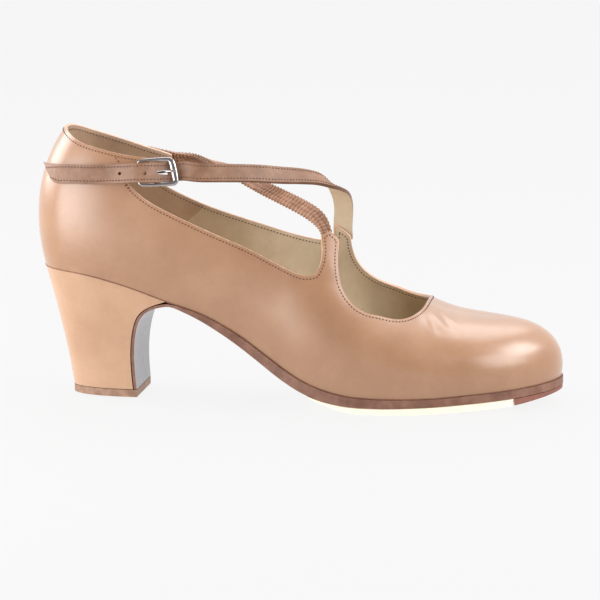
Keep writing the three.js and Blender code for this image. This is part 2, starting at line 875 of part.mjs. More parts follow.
function heelRing(row) {
  const breast = breastPoints(SOLE.breastFlap + BREAST_GAP, FINE_STEPS);
  const sideRing = (side) => {
    const ring = [];
    for (let k = 0; k <= HEEL_SIDE_CELLS; k += 1) {
      const seat = heelSeat(side, k);
      const foot = heelFoot(side, k, BREAST_FOOT * LAST.length - SOLE.breastFlap - BREAST_GAP);
      const z = lerp(seat.z, foot.z, row.down);
      const breastZ = lerp(heelSeat(side, 0).z, foot.z, row.down);
      const front = row.down === 0 ? heelSeat(side, 0).x : crossingX(breast, breastZ);
      const back = lerp(HEEL_SEAT_BACK.x, heelFoot(side, HEEL_SIDE_CELLS, 0).x, row.back);
      const x = lerp(front, back, heelTurn(k).back);
      ring.push(new THREE.Vector3(x, lerp(seat.y, foot.y, row.narrow), z));
    }
    return ring;
  };
  const outer = sideRing(OUTER);
  const inner = sideRing(INNER);
  return [...outer, ...inner.slice(0, -1).reverse()];
}

// Outsole: from the toe tip to the breast, then down the breast to the lift

const SOLE_CELLS = { outsole: 40, breast: 14, insole: 44, tread: 22, plate: 10 };

function outsoleRings() {
  const steps = stations(BREAST_AT, 1, SOLE_CELLS.outsole);
  const rings = layerRings(steps, SOLE.ledge, soleTop, soleBottom);
  const seam = rings[0];
  const low = breastPoints(0, SOLE_CELLS.breast).slice(1);
  const high = breastPoints(SOLE.breastFlap, SOLE_CELLS.breast).slice(1);
  const seatZ = soleTop(HEEL_TOP_FRONT * LAST.length);
  const flap = low.map((point, i) => {
    const narrow = narrowAt((seatZ - point.z) / (seatZ - LIFT_TOP));
    const edge = (corner, side) => {
      const foot = HEEL_MIDDLE + (side * HEEL.bottomWidth) / 2;
      const seat = corner.y - side * SOLE.ledge;
      return lerp(seat, foot, narrow);
    };
    const outer = edge(seam[0], OUTER);
    const inner = edge(seam[1], INNER);
    const top = new THREE.Vector3(high[i].x, 0, Math.max(high[i].z, LIFT_TOP));
    return [
      new THREE.Vector3(point.x, outer, point.z),
      new THREE.Vector3(point.x, inner, point.z),
      top.clone().setY(inner),
      top.clone().setY(outer),
    ];
  });
  return [...flap.reverse(), ...rings];
}

// The upper

const shoe = new THREE.Group();

shoe.add(closedMesh('upper', upperSheet().thicken(LEATHER.wall), {
  color: '#d2a588',
  roughness: 0.5,
  metalness: 0,
}));

// Insole: a board inside the upper, on the sole

const INSOLE_CLEARANCE = 0.7;
const insoleTop = (x) => featherHeight(x) + LEATHER.insole;
shoe.add(closedMesh('insole', loftFaces(layerRings(
  stations(0, 1, SOLE_CELLS.insole),
  -LEATHER.wall - INSOLE_CLEARANCE,
  insoleTop,
  featherHeight,
)), { color: '#b39b7a', roughness: 0.7, metalness: 0 }));

shoe.add(closedMesh('outsole', loftFaces(outsoleRings()), {
  color: '#86635a',
  roughness: 0.6,
  metalness: 0,
}));

// Forefoot: a pale rubber half sole, then the nailed plate under the toe tip

const TREAD_ROWS = [
  { along: 0.535, thick: 0.10 },
  { along: 0.560, thick: 0.35 },
  { along: 0.590, thick: 0.62 },
  { along: 0.640, thick: 1.00 },
  { along: 0.760, thick: 1.00 },
  { along: 0.913, thick: 1.05 },
  { along: 0.960, thick: 0.78 },
  { along: 1.000, thick: 0.50 },
];
const TREAD_INSET = 0.3;
const PLATE_FROM = 0.917;
const PLATE_JOINT = 0.002;
const treadAt = columnOf(TREAD_ROWS, 'thick');

// The underside of the tread is flat on the floor under the ball and rises behind and before it.

const treadTop = (x) => soleBottom(x) - GLUE_GAP;
function treadBottom(x) {
  const z = treadTop(x) - HALF_SOLE.thickness * treadAt(x / LAST.length);
  return Math.max(z, 0);
}

shoe.add(closedMesh('half_sole', loftFaces(layerRings(
  stations(TREAD_ROWS[0].along, PLATE_FROM - PLATE_JOINT, SOLE_CELLS.tread),
  SOLE.ledge - TREAD_INSET,
  treadTop,
  treadBottom,
)), { color: '#f6efe2', roughness: 0.8, metalness: 0 }));

shoe.add(closedMesh('toe_plate', loftFaces(layerRings(
  stations(PLATE_FROM, 1, SOLE_CELLS.plate),
  SOLE.ledge - TREAD_INSET,
  treadTop,
  treadBottom,
)), { color: '#7a5548', roughness: 0.6, metalness: 0 }));

// Heel block and its lift

shoe.add(closedMesh('heel', loftFaces(HEEL_ROWS.map(heelRing)), {
  color: '#d8ae90',
  roughness: 0.45,
  metalness: 0,
}));

function liftRing(z) {
  const front = BREAST_FOOT * LAST.length;
  const ring = (side) => {
    const points = [];
    for (let k = 0; k <= HEEL_SIDE_CELLS; k += 1) points.push(heelFoot(side, k, front).setZ(z));
    return points;
  };
  return [...ring(OUTER), ...ring(INNER).slice(0, -1).reverse()];
}

shoe.add(closedMesh('heel_lift', loftFaces([liftRing(HEEL.lift), liftRing(0)]), {
  color: '#9a7b68',
  roughness: 0.6,
  metalness: 0,
}));

// Straps

function outwardAt(side, place) {
  const here = lastPoint(side, place.t, place.level);
  const ahead = lastPoint(side, place.t + SLOPE_STEP, place.level).sub(here);
  const up = lastPoint(side, place.t, place.level + SLOPE_STEP).sub(here);
  const out = ahead.cross(up).normalize();
  return side === OUTER ? out : out.negate();
}

// A control of a strap that lies on the last, given from the side and standing off by offset.

function offLast(side, along, height, offset) {
  const place = placeAt(side, along, height);
  const out = outwardAt(side, place);
  return { point: lastPoint(side, place.t, place.level).addScaledVector(out, offset), out };
}

// A strap follows a curve through its controls, and out gives the way its outer face looks.

const CURVE_STEPS = 800;

class StrapPath {
  constructor(controls) {
    this.curve = new THREE.CatmullRomCurve3(controls.map((c) => c.point), false, 'centripetal');
    this.curve.arcLengthDivisions = CURVE_STEPS;
    this.length = this.curve.getLength();
    this.outs = new THREE.CatmullRomCurve3(controls.map((c) => c.out), false, 'catmullrom');
  }

  frame(arc) {
    const share = THREE.MathUtils.clamp(arc / this.length, 0, 1);
    const run = this.curve.getTangentAt(share);
    const point = this.curve.getPointAt(share).addScaledVector(run, arc - share * this.length);
    const out = this.outs.getPoint(this.curve.getUtoTmapping(share));
    out.addScaledVector(run, -out.dot(run)).normalize();
    const up = out.clone().cross(run);
    return { point, run, out, up };
  }

  at(arc, across) {
    const frame = this.frame(arc);
    return frame.point.addScaledVector(frame.up, across);
  }

  // Arc length of the point on the path that lies nearest to a place.

  nearest(place) {
    let best = 0;
    let distance = Infinity;
    for (let i = 0; i <= CURVE_STEPS; i += 1) {
      const arc = (this.length * i) / CURVE_STEPS;
      const gap = this.curve.getPointAt(i / CURVE_STEPS).distanceTo(place);
      if (gap < distance) {
        distance = gap;
        best = arc;
      }
    }
    return best;
  }
}

// rows: arc lengths at which the strap has a row of points, and how far each row slants.
// hole: the arc lengths between which the middle cells are left out.

function strapFaces(path, rows, size, hole) {
  const sheet = new Sheet();
  const edge = size.width / 2;
  const across = hole ? [-edge, -hole.half, hole.half, edge] : [-edge, -edge / 3, edge / 3, edge];
  const net = rows.map((row) => across.map((offset) => {
    const slant = row.slant ? row.slant * (0.5 - offset / size.width) : 0;
    return sheet.add(path.at(row.arc + slant, offset * (row.wide ?? 1)));
  }));
  for (let i = 0; i < net.length - 1; i += 1) {
    const middle = (rows[i].arc + rows[i + 1].arc) / 2;
    for (let j = 0; j < across.length - 1; j += 1) {
      const open = hole && j === 1 && middle > hole.from && middle < hole.to;
      if (!open) sheet.cells.push([net[i][j], net[i + 1][j], net[i + 1][j + 1], net[i][j + 1]]);
    }
  }
  return sheet.thicken(size.thickness);
}

function evenArcs(from, to, pitch) {
  const cells = Math.max(Math.round((to - from) / pitch), 1);
  const arcs = [];
  for (let i = 0; i <= cells; i += 1) arcs.push(lerp(from, to, i / cells));
  return arcs;
}

// The way a tab of the upper faces, and a place on it: row counts up from the throat, share
// runs from its back edge to its front edge.

function tabOut(side) {
  const net = upperTabs[side];
  const across = net[1][2].clone().sub(net[1][0]);
  const out = across.cross(net[net.length - 1][1].clone().sub(net[0][1])).normalize();
  return side === OUTER ? out : out.negate();
}

function onTab(side, row, share, offset) {
  const out = tabOut(side);
  const [back, , front] = upperTabs[side][row];
  return { point: back.clone().lerp(front, share).addScaledVector(out, offset), out };
}

// Buckle: its base bar lies across the outer ear, and its frame points forward

const BUCKLE_PLACE = { along: 0.2140, height: 0.635 };
const BUCKLE_TURN = { yaw: 5, roll: 15, tilt: 3.5 };

const degrees = THREE.MathUtils.degToRad;
const buckleAxes = new THREE.Matrix4()
  .makeRotationZ(degrees(BUCKLE_TURN.yaw))
  .multiply(new THREE.Matrix4().makeRotationX(-degrees(BUCKLE_TURN.roll)))
  .multiply(new THREE.Matrix4().makeRotationY(-degrees(BUCKLE_TURN.tilt)));
const forward = new THREE.Vector3(1, 0, 0).applyMatrix4(buckleAxes);
const upward = new THREE.Vector3(0, 0, 1).applyMatrix4(buckleAxes);
const outward = new THREE.Vector3(0, -1, 0).applyMatrix4(buckleAxes);
const BAR_OFFSET = BUCKLE.wire / 2 + LOOP.thickness + 2 * GLUE_GAP;
const buckleBase = offLast(OUTER, BUCKLE_PLACE.along, BUCKLE_PLACE.height, BAR_OFFSET).point;

function inBuckle(ahead, up, out) {
  return buckleBase.clone()
    .addScaledVector(forward, ahead)
    .addScaledVector(upward, up)
    .addScaledVector(outward, out);
}

// A round bar along a list of points, its radius given at each. A closed bar joins its ends.

function barFaces(points, radii, sides, closed) {
  const count = points.length;
  const rings = points.map((point, i) => {
    const before = points[closed ? (i + count - 1) % count : Math.max(i - 1, 0)];
    const after = points[closed ? (i + 1) % count : Math.min(i + 1, count - 1)];
    const run = after.clone().sub(before).normalize();
    const side = outward.clone().addScaledVector(run, -outward.dot(run)).normalize();
    const flat = run.clone().cross(side);
    const ring = [];
    for (let k = 0; k < sides; k += 1) {
      const angle = ((k + 0.5) / sides) * Math.PI * 2;
      ring.push(point.clone()
        .addScaledVector(side, Math.cos(angle) * radii[i].thick)
        .addScaledVector(flat, Math.sin(angle) * radii[i].wide));
    }
    return ring;
  });
  const faces = [];
  const spans = closed ? count : count - 1;
  for (let i = 0; i < spans; i += 1) {
    const next = rings[(i + 1) % count];
    for (let k = 0; k < sides; k += 1) {
      const j = (k + 1) % sides;
      faces.push([rings[i][k], rings[i][j], next[j], next[k]]);
    }
  }
  if (!closed) {
    faces.push([...rings[0]].reverse());
    faces.push(rings[count - 1]);
  }
  return faces;
}

const FRONT_FLARE = 8;
const CORNER_STEPS = 3;

function bucklePath() {
  const half = BUCKLE.opening / 2 + BUCKLE.wire / 2;
  const { corner } = BUCKLE;
  const points = [];
  const radii = [];
  const thin = BUCKLE.wire / 2;
  const put = (ahead, up) => {
    const share = THREE.MathUtils.clamp(ahead / BUCKLE.reach, 0, 1);
    const slanted = ahead - (share * BUCKLE.lean * up) / half;
    points.push(inBuckle(slanted, up, 0));
    radii.push({ thick: thin, wide: lerp(thin, BUCKLE.frontBar / 2, share ** FRONT_FLARE) });
  };
  const corners = [
    { ahead: corner, up: -half + corner, from: 180 },
    { ahead: BUCKLE.reach - corner, up: -half + corner, from: 270 },
    { ahead: BUCKLE.reach - corner, up: half - corner, from: 0 },
    { ahead: corner, up: half - corner, from: 90 },
  ];
  for (const turn of corners) {
    for (let i = 0; i <= CORNER_STEPS; i += 1) {
      const angle = degrees(turn.from + (90 * i) / CORNER_STEPS);
      put(turn.ahead + corner * Math.cos(angle), turn.up + corner * Math.sin(angle));
    }
  }
  return { points, radii };
}

const BAR_SIDES = 8;
const STEEL = { color: '#b9b9bd', roughness: 0.25, metalness: 1 };
const frame = bucklePath();
shoe.add(closedMesh('buckle_frame', barFaces(frame.points, frame.radii, BAR_SIDES, true), STEEL));

// The long strap: its tail lies along the outer quarter, it passes over the base bar and under
// the front bar, crosses the instep and comes down outside the inner tab.

const TAIL_ROWS = [
  { along: 0.028, height: 0.516 },
  { along: 0.055, height: 0.521 },
  { along: 0.083, height: 0.533 },
  { along: 0.124, height: 0.553 },
  { along: 0.162, height: 0.584 },
];
const SPAN_ROWS = [
  { along: 0.324, aside: -0.375, height: 0.762, roll: 29 },
  { along: 0.384, aside: -0.309, height: 0.842, roll: 34 },
  { along: 0.430, aside: -0.226, height: 0.918, roll: 36 },
  { along: 0.472, aside: -0.138, height: 0.984, roll: 38 },
  { along: 0.507, aside: -0.039, height: 1.030, roll: 42 },
  { along: 0.534, aside: 0.053, height: 1.046, roll: 50 },
  { along: 0.554, aside: 0.125, height: 1.032, roll: 64 },
  { along: 0.567, aside: 0.197, height: 0.992, roll: 92 },
  { along: 0.571, aside: 0.257, height: 0.938, roll: 122 },
  { along: 0.571, aside: 0.299, height: 0.872, roll: 146 },
];

// A control in the open. roll: 0 faces the outer side, 90 up and 180 the inner side.

function spanControl(row) {
  const point = sidePoint(row.along, row.height);
  point.y = row.aside * LAST.ballWidth;
  return { point, out: new THREE.Vector3(0, -Math.cos(degrees(row.roll)), Math.sin(degrees(row.roll))) };
}

const STRAP_SLACK = 0.6;
const OVER_PRONG = BUCKLE.wire / 2 + GLUE_GAP + BUCKLE.prong + GLUE_GAP;
const strapOff = GLUE_GAP + STRAP.thickness + STRAP_SLACK;
const overBar = OVER_PRONG + STRAP.thickness;
const underBar = -BUCKLE.wire / 2 - GLUE_GAP - STRAP_SLACK;
const halfway = (overBar + underBar) / 2;
const BUCKLE_ROWS = [
  { ahead: -0.8, up: -0.3, out: overBar },
  { ahead: 1.8, up: -0.3, out: overBar },
  { ahead: 8.6, up: -0.25, out: halfway },
  { ahead: 14.6, up: 0, out: underBar },
  { ahead: 19.6, up: 0.5, out: underBar },
];
const strapPath = new StrapPath([
  ...TAIL_ROWS.map((row) => offLast(OUTER, row.along, row.height, strapOff)),
  ...BUCKLE_ROWS.map((row) => ({ point: inBuckle(row.ahead, row.up, row.out), out: outward })),
  ...SPAN_ROWS.map(spanControl),
  onTab(INNER, 3, 0.42, strapOff),
  onTab(INNER, 1, 0.42, strapOff),
]);

// The hole that the prong is in.

const HOLE = { ahead: 11.2, length: 5.2, clearance: 0.7 };
const holeMiddle = strapPath.nearest(inBuckle(HOLE.ahead, 0, 0));
const STRAP_HOLE = {
  from: holeMiddle - HOLE.length / 2,
  to: holeMiddle + HOLE.length / 2,
  half: BUCKLE.prong / 2 + HOLE.clearance,
};
const STRAP_PITCH = 3.8;
const tailArcs = evenArcs(STRAP.tailSlant + 2, STRAP_HOLE.from, STRAP_PITCH);
const spanArcs = evenArcs(STRAP_HOLE.to, strapPath.length, STRAP_PITCH);
const strapArcs = [{ arc: 0, slant: STRAP.tailSlant }];
strapArcs.push(...[...tailArcs, ...spanArcs].map((arc) => ({ arc })));
shoe.add(closedMesh('instep_strap', strapFaces(strapPath, strapArcs, STRAP, STRAP_HOLE), {
  color: '#b08467',
  roughness: 0.5,
  metalness: 0,
}));

// The prong hooks over the base bar, comes out through the hole in the strap and rests on the
// front bar. ahead: share of the buckle's reach.

const HOOK_ANGLES = [185, 150, 120, 90, 60, 30];
const PRONG_ROWS = [
  { ahead: 0.18, out: -0.75 },
  { ahead: 0.32, out: -1.30 },
  { ahead: 0.50, out: -1.55 },
  { ahead: 0.62, out: -1.25 },
  { ahead: 0.72, out: -0.30 },
  { ahead: 0.82, out: 0.80 },
  { ahead: 0.93, out: 1.66 },
  { ahead: 1.06, out: 1.78 },
];
const hookRadius = BUCKLE.wire / 2 + GLUE_GAP + BUCKLE.prong / 2;
const prongCurve = new THREE.CatmullRomCurve3([
  ...HOOK_ANGLES.map((angle) => {
    const turn = degrees(angle);
    return inBuckle(hookRadius * Math.cos(turn), 0, hookRadius * Math.sin(turn));
  }),
  ...PRONG_ROWS.map((row) => inBuckle(row.ahead * BUCKLE.reach, 0, row.out)),
]);
const PRONG_CELLS = 28;
const prongPoints = prongCurve.getSpacedPoints(PRONG_CELLS);
const prongRadii = prongPoints.map(() => ({ thick: BUCKLE.prong / 2, wide: BUCKLE.prong / 2 }));
shoe.add(closedMesh('buckle_prong', barFaces(prongPoints, prongRadii, BAR_SIDES), STEEL));

// The buckle's loop: leather folded around the base bar, with a slot for the prong, and sewn to
// the ear under the strap's tail.

const LOOP_ANGLES = [270, 315, 0, 45, 90, 120, 150];
const loopRadius = BUCKLE.wire / 2 + GLUE_GAP + LOOP.thickness;
const UPPER_PLY = GLUE_GAP + LOOP.thickness + 0.2 + LOOP.thickness;

// A control over the ear behind the bar, at a distance back from it and a height off the leather.

function loopEnd(back, offset, facing) {
  const over = inBuckle(-back, 0, -BAR_OFFSET);
  const place = onLast(OUTER, over.x, over.z);
  const normal = outwardAt(OUTER, place);
  const point = lastPoint(OUTER, place.t, place.level).addScaledVector(normal, offset);
  return { point, out: normal.multiplyScalar(facing) };
}

const loopPath = new StrapPath([
  loopEnd(LOOP.length, GLUE_GAP, -1),
  loopEnd(LOOP.length / 2, GLUE_GAP, -1),
  ...LOOP_ANGLES.map((angle) => {
    const turn = degrees(angle);
    const out = forward.clone().multiplyScalar(Math.cos(turn)).addScaledVector(outward, Math.sin(turn));
    return { point: buckleBase.clone().addScaledVector(out, loopRadius), out };
  }),
  loopEnd(LOOP.length / 2, UPPER_PLY, 1),
  loopEnd(LOOP.length, UPPER_PLY, 1),
]);
const slotFrom = loopPath.nearest(inBuckle(loopRadius, 0, -loopRadius));
const slotTo = loopPath.nearest(inBuckle(-hookRadius - BUCKLE.prong, 0, 0));
const LOOP_PITCH = 1.2;
const loopArcs = [
  ...evenArcs(0, slotFrom, LOOP_PITCH),
  ...evenArcs(slotFrom, slotTo, LOOP_PITCH).slice(1),
  ...evenArcs(slotTo, loopPath.length, LOOP_PITCH).slice(1),
].map((arc) => ({ arc }));
const loopSlot = { from: slotFrom, to: slotTo, half: BUCKLE.prong / 2 + GLUE_GAP };
shoe.add(closedMesh('buckle_loop', strapFaces(loopPath, loopArcs, LOOP, loopSlot), {
  color: '#b08467',
  roughness: 0.5,
  metalness: 0,
}));

// The gathered strap: from inside the outer tab, under the long strap, to the inner ear

const GATHER_ROWS = [
  { along: 0.556, aside: -0.284, height: 0.868, roll: 30 },
  { along: 0.541, aside: -0.259, height: 0.891, roll: 34 },
  { along: 0.513, aside: -0.218, height: 0.896, roll: 38 },
  { along: 0.477, aside: -0.145, height: 0.872, roll: 44 },
  { along: 0.439, aside: -0.066, height: 0.832, roll: 52 },
  { along: 0.400, aside: 0.026, height: 0.796, roll: 64 },
  { along: 0.365, aside: 0.105, height: 0.777, roll: 80 },
  { along: 0.330, aside: 0.184, height: 0.756, roll: 102 },
  { along: 0.295, aside: 0.250, height: 0.732, roll: 128 },
];
const GATHER_END_ROWS = [
  { along: 0.188, height: 0.642 },
  { along: 0.216, height: 0.652 },
  { along: 0.245, height: 0.668 },
];
const GATHER_SLACK = 0.2;
const gatherOff = GLUE_GAP + GATHERED.thickness + GATHER_SLACK;
const gatherIn = -LEATHER.wall - GLUE_GAP - GATHER_SLACK;
const gatherPath = new StrapPath([
  ...GATHER_END_ROWS.map((row) => offLast(INNER, row.along, row.height, gatherOff)),
  ...[...GATHER_ROWS].reverse().map(spanControl),
  onTab(OUTER, 3, 0.45, gatherIn),
  onTab(OUTER, 2, 0.40, gatherIn),
]);
const GATHER_PITCH = 3.4;
const narrowFrom = gatherPath.length - GATHERED.tuck;
const gatherArcs = evenArcs(0, gatherPath.length, GATHER_PITCH).map((arc) => {
  const share = THREE.MathUtils.clamp((arc - narrowFrom) / GATHERED.tuckTaper, 0, 1);
  return { arc, wide: lerp(1, GATHERED.tuckWidth, share) };
});
shoe.add(closedMesh('gathered_strap', strapFaces(gatherPath, gatherArcs, GATHERED), {
  color: '#a5826f',
  roughness: 0.8,
  metalness: 0,
}));

// The shoe stands with the middle of its bounding box over the origin.

const bounds = new THREE.Box3().setFromObject(shoe);
const middle = bounds.getCenter(new THREE.Vector3());
shoe.position.set(-middle.x, -middle.y, -bounds.min.z);

export default shoe;
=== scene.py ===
# %% [markdown]
# # A flamenco shoe in tan leather
#
# A dance shoe for the right foot: one smooth leather upper, two crossed instep straps, a covered
# heel and a thin leather sole with a rubber half sole and a nailed toe. This lesson dresses the
# plain solids of the shoe piece by piece. We start by loading those solids as a fixed frame. They
# give every place and size, so nothing has to be fitted by eye.

import json
import math

import bpy
from mathutils import Matrix, Vector
from mathutils.bvhtree import BVHTree
from mathutils.kdtree import KDTree

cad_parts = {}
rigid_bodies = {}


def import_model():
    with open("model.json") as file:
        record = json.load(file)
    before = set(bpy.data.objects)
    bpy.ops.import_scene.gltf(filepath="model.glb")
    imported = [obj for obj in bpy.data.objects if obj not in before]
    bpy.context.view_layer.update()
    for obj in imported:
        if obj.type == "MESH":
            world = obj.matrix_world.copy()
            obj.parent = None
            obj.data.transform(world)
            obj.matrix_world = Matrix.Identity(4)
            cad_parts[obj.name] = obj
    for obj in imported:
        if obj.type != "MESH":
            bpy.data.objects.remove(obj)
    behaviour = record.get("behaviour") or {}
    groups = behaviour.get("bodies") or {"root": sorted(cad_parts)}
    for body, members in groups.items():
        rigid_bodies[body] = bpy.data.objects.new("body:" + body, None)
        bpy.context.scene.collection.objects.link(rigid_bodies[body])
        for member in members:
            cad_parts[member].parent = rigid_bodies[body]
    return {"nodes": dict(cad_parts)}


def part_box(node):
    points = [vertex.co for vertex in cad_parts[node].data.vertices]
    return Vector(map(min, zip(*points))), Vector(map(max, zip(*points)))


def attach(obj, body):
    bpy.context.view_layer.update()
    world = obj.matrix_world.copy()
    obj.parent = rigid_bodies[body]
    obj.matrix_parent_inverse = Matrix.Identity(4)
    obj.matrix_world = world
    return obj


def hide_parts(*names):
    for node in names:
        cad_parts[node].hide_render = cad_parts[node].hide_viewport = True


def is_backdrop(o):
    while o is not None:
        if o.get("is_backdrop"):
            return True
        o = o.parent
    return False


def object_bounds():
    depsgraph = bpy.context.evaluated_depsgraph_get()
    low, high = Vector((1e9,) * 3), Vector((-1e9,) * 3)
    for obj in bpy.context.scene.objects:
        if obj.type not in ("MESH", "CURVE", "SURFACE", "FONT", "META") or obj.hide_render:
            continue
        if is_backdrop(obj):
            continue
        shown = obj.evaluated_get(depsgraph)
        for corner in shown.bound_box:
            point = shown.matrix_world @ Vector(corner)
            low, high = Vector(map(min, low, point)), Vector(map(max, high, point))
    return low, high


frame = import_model()
cad_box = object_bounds()
MM = 0.001
print("solids:", sorted(frame["nodes"]))

# %% [markdown]
# ## The camera
#
# The shoe is seen from its outer side, a little from the front and a little from above, through
# a long lens, so that heel and toe keep their true proportions. A camera could be aimed by hand.
# Here two angles and a distance place it, because such numbers can be checked against a photo.
# The lens is worked out in pixels for a picture 600 pixels wide.

# %% Camera
TURN, RISE = math.radians(8.8), math.radians(10.3)
DISTANCE = 1450 * MM
PICTURE_PIXELS, PIXELS_PER_MM = 600, 2.19
SENSOR = 36
flat = math.cos(RISE)
towards = Vector((math.sin(TURN) * flat, -math.cos(TURN) * flat, math.sin(RISE)))
aim = Vector((0.0, 0.16, 44.0)) * MM

bpy.ops.object.camera_add(location=aim + towards * DISTANCE)
camera = bpy.context.active_object
camera.name = "camera"
camera.rotation_euler = towards.to_track_quat("Z", "Y").to_euler()
camera.data.sensor_width = SENSOR
camera.data.lens = SENSOR * PIXELS_PER_MM * (DISTANCE / MM) / PICTURE_PIXELS
camera.data.clip_end = 20
bpy.context.scene.camera = camera
print("lens", round(camera.data.lens, 1), "mm")

# %% [markdown]
# ## Colours and nodes
#
# Colours are picked as sRGB hex values, as a maker reads them from a swatch, and one function
# turns them to the linear values that a renderer works in. Node trees could be wired by hand in
# the editor. One small helper that adds a node with its settings and links keeps them readable.

# %% Colour and node helpers
def colour(code):
    """An sRGB hex colour as linear red, green, blue and alpha."""
    parts = [int(code[i : i + 2], 16) / 255 for i in (1, 3, 5)]
    return [c / 12.92 if c <= 0.04045 else ((c + 0.055) / 1.055) ** 2.4 for c in parts] + [1]


def add(tree, kind, settings=None, **inputs):
    """A new node. An input is a value or another node's output, named with _ for a space."""
    node = tree.nodes.new(kind)
    for key, value in (settings or {}).items():
        setattr(node, key, value)
    for key, value in inputs.items():
        socket = node.inputs[int(key[1:])] if key[0] == "i" and key[1:].isdigit() else None
        socket = socket or node.inputs[key.replace("_", " ")]
        if isinstance(value, bpy.types.NodeSocket):
            tree.links.new(value, socket)
        else:
            socket.default_value = value
    return node


def new_material(name, **shader):
    """A material with a Principled shader, and its node tree and shader to build on."""
    material = bpy.data.materials.new(name)
    material.use_nodes = True
    tree = material.node_tree
    principled = tree.nodes["Principled BSDF"]
    for key, value in shader.items():
        principled.inputs[key.replace("_", " ")].default_value = value
    return material, tree, principled


# %% [markdown]
# ## The floor
#
# A shoe for a catalogue stands on a sheet of white acrylic that is lit from below, so it throws
# hardly any shadow. A plain white floor would need very strong lamps to look as white. A plane
# that gives off light of its own does it at once, and the shoe's underside is lit by it as well.

# %% Floor
FLOOR_SIZE, FLOOR_GLOW = 12, 0.872


bpy.ops.object.select_all(action="DESELECT")
bpy.ops.mesh.primitive_plane_add(size=FLOOR_SIZE, location=(0, 0, 0))
floor = bpy.context.active_object
floor.name = "floor"
# Opal acrylic with light behind it. To the eye it is an even, nearly white ground.
table, _, table_shader = new_material(
    "lit_white_acrylic", Base_Color=colour("#2c2c2c"), Roughness=0.9, Specular_IOR_Level=0.1
)
table_shader.inputs["Emission Color"].default_value = (1, 1, 1, 1)
table_shader.inputs["Emission Strength"].default_value = FLOOR_GLOW
floor.data.materials.append(table)
floor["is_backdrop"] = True
print("floor", FLOOR_SIZE, "m wide")

# %% [markdown]
# ## The room
#
# The studio is white at the back and dimmer towards the camera, and glossy leather mirrors both.
# A picture of a studio could serve as the surroundings. A smooth change of brightness from one
# wall to the other does the same with two numbers, and leaves no odd shapes in the leather.

# %% Room
WALL, ROOM = 0.95, 0.30
bpy.context.scene.view_settings.view_transform = "Standard"
world = bpy.data.worlds.new("studio")
bpy.context.scene.world = world
world.use_nodes = True
sky = world.node_tree
way = add(sky, "ShaderNodeTexCoord").outputs["Generated"]
depth = add(sky, "ShaderNodeSeparateXYZ", Vector=way).outputs["Y"]
shade = add(
    sky, "ShaderNodeMapRange", Value=depth, From_Min=-0.5, From_Max=0.35, To_Min=ROOM, To_Max=WALL
)
sky.links.new(shade.outputs["Result"], sky.nodes["Background"].inputs["Strength"])
sky.nodes["Background"].inputs["Color"].default_value = (1, 1, 1, 1)
print("room", ROOM, "to", WALL)

# %% [markdown]
# ## The lamps
#
# Soft boxes draw the highlights that tell the eye how the leather bends. One is small and near,
# for the heel quarter, two stand to the right for the vamp and toe, and two light the shoe from
# behind and from above. Point lamps would give hard dots. Each box is placed by angles around the
# shoe, so that its highlight can be moved by changing one number.

# %% Lamps
def lamp(name, azimuth, elevation, distance, size, watts, centre=aim):
    """A square soft box, set around a centre by angles in degrees. 0 is the outer side."""
    a, e = math.radians(azimuth), math.radians(elevation)
    way = Vector((math.sin(a) * math.cos(e), -math.cos(a) * math.cos(e), math.sin(e)))
    bpy.ops.object.light_add(type="AREA", location=centre + way * distance)
    light = bpy.context.active_object
    light.name = name
    light.rotation_euler = way.to_track_quat("Z", "Y").to_euler()
    light.data.shape = "SQUARE"
    light.data.size = size
    light.data.energy = watts


lamp("soft_box_rear_left", -98, 24, 0.9, 0.6, 6.0)
lamp("soft_box_left", -44, 2, 0.36, 0.3, 1.55, centre=Vector((-0.1, -0.03, 0.08)))
lamp("soft_box_right", 94, 44, 1.0, 0.45, 5.0)
lamp("soft_box_front_right", 60, 30, 1.0, 0.6, 5.4)
lamp("soft_box_top", 178, 58, 1.2, 0.8, 5.0)
print("lamps:", len(bpy.data.lights))

# %% [markdown]
# ## Leather
#
# The upper is full grain leather, dyed tan and finished with a thin clear coat. To the eye that
# gives a soft, wide highlight, a fine pebbled grain and a colour that is never quite even. It
# could be a photo of leather laid over the shoe, but that stretches where the shoe bends. Noise
# in the object's own space has no seams. The grain of such leather is about half a millimetre
# wide, too fine for the picture, so it is drawn coarser, with pebbles of 0.9 mm.

# %% Leather finish
GRAIN = 0.9 * MM
SHADES = (0.40, 0.61, 0.82)


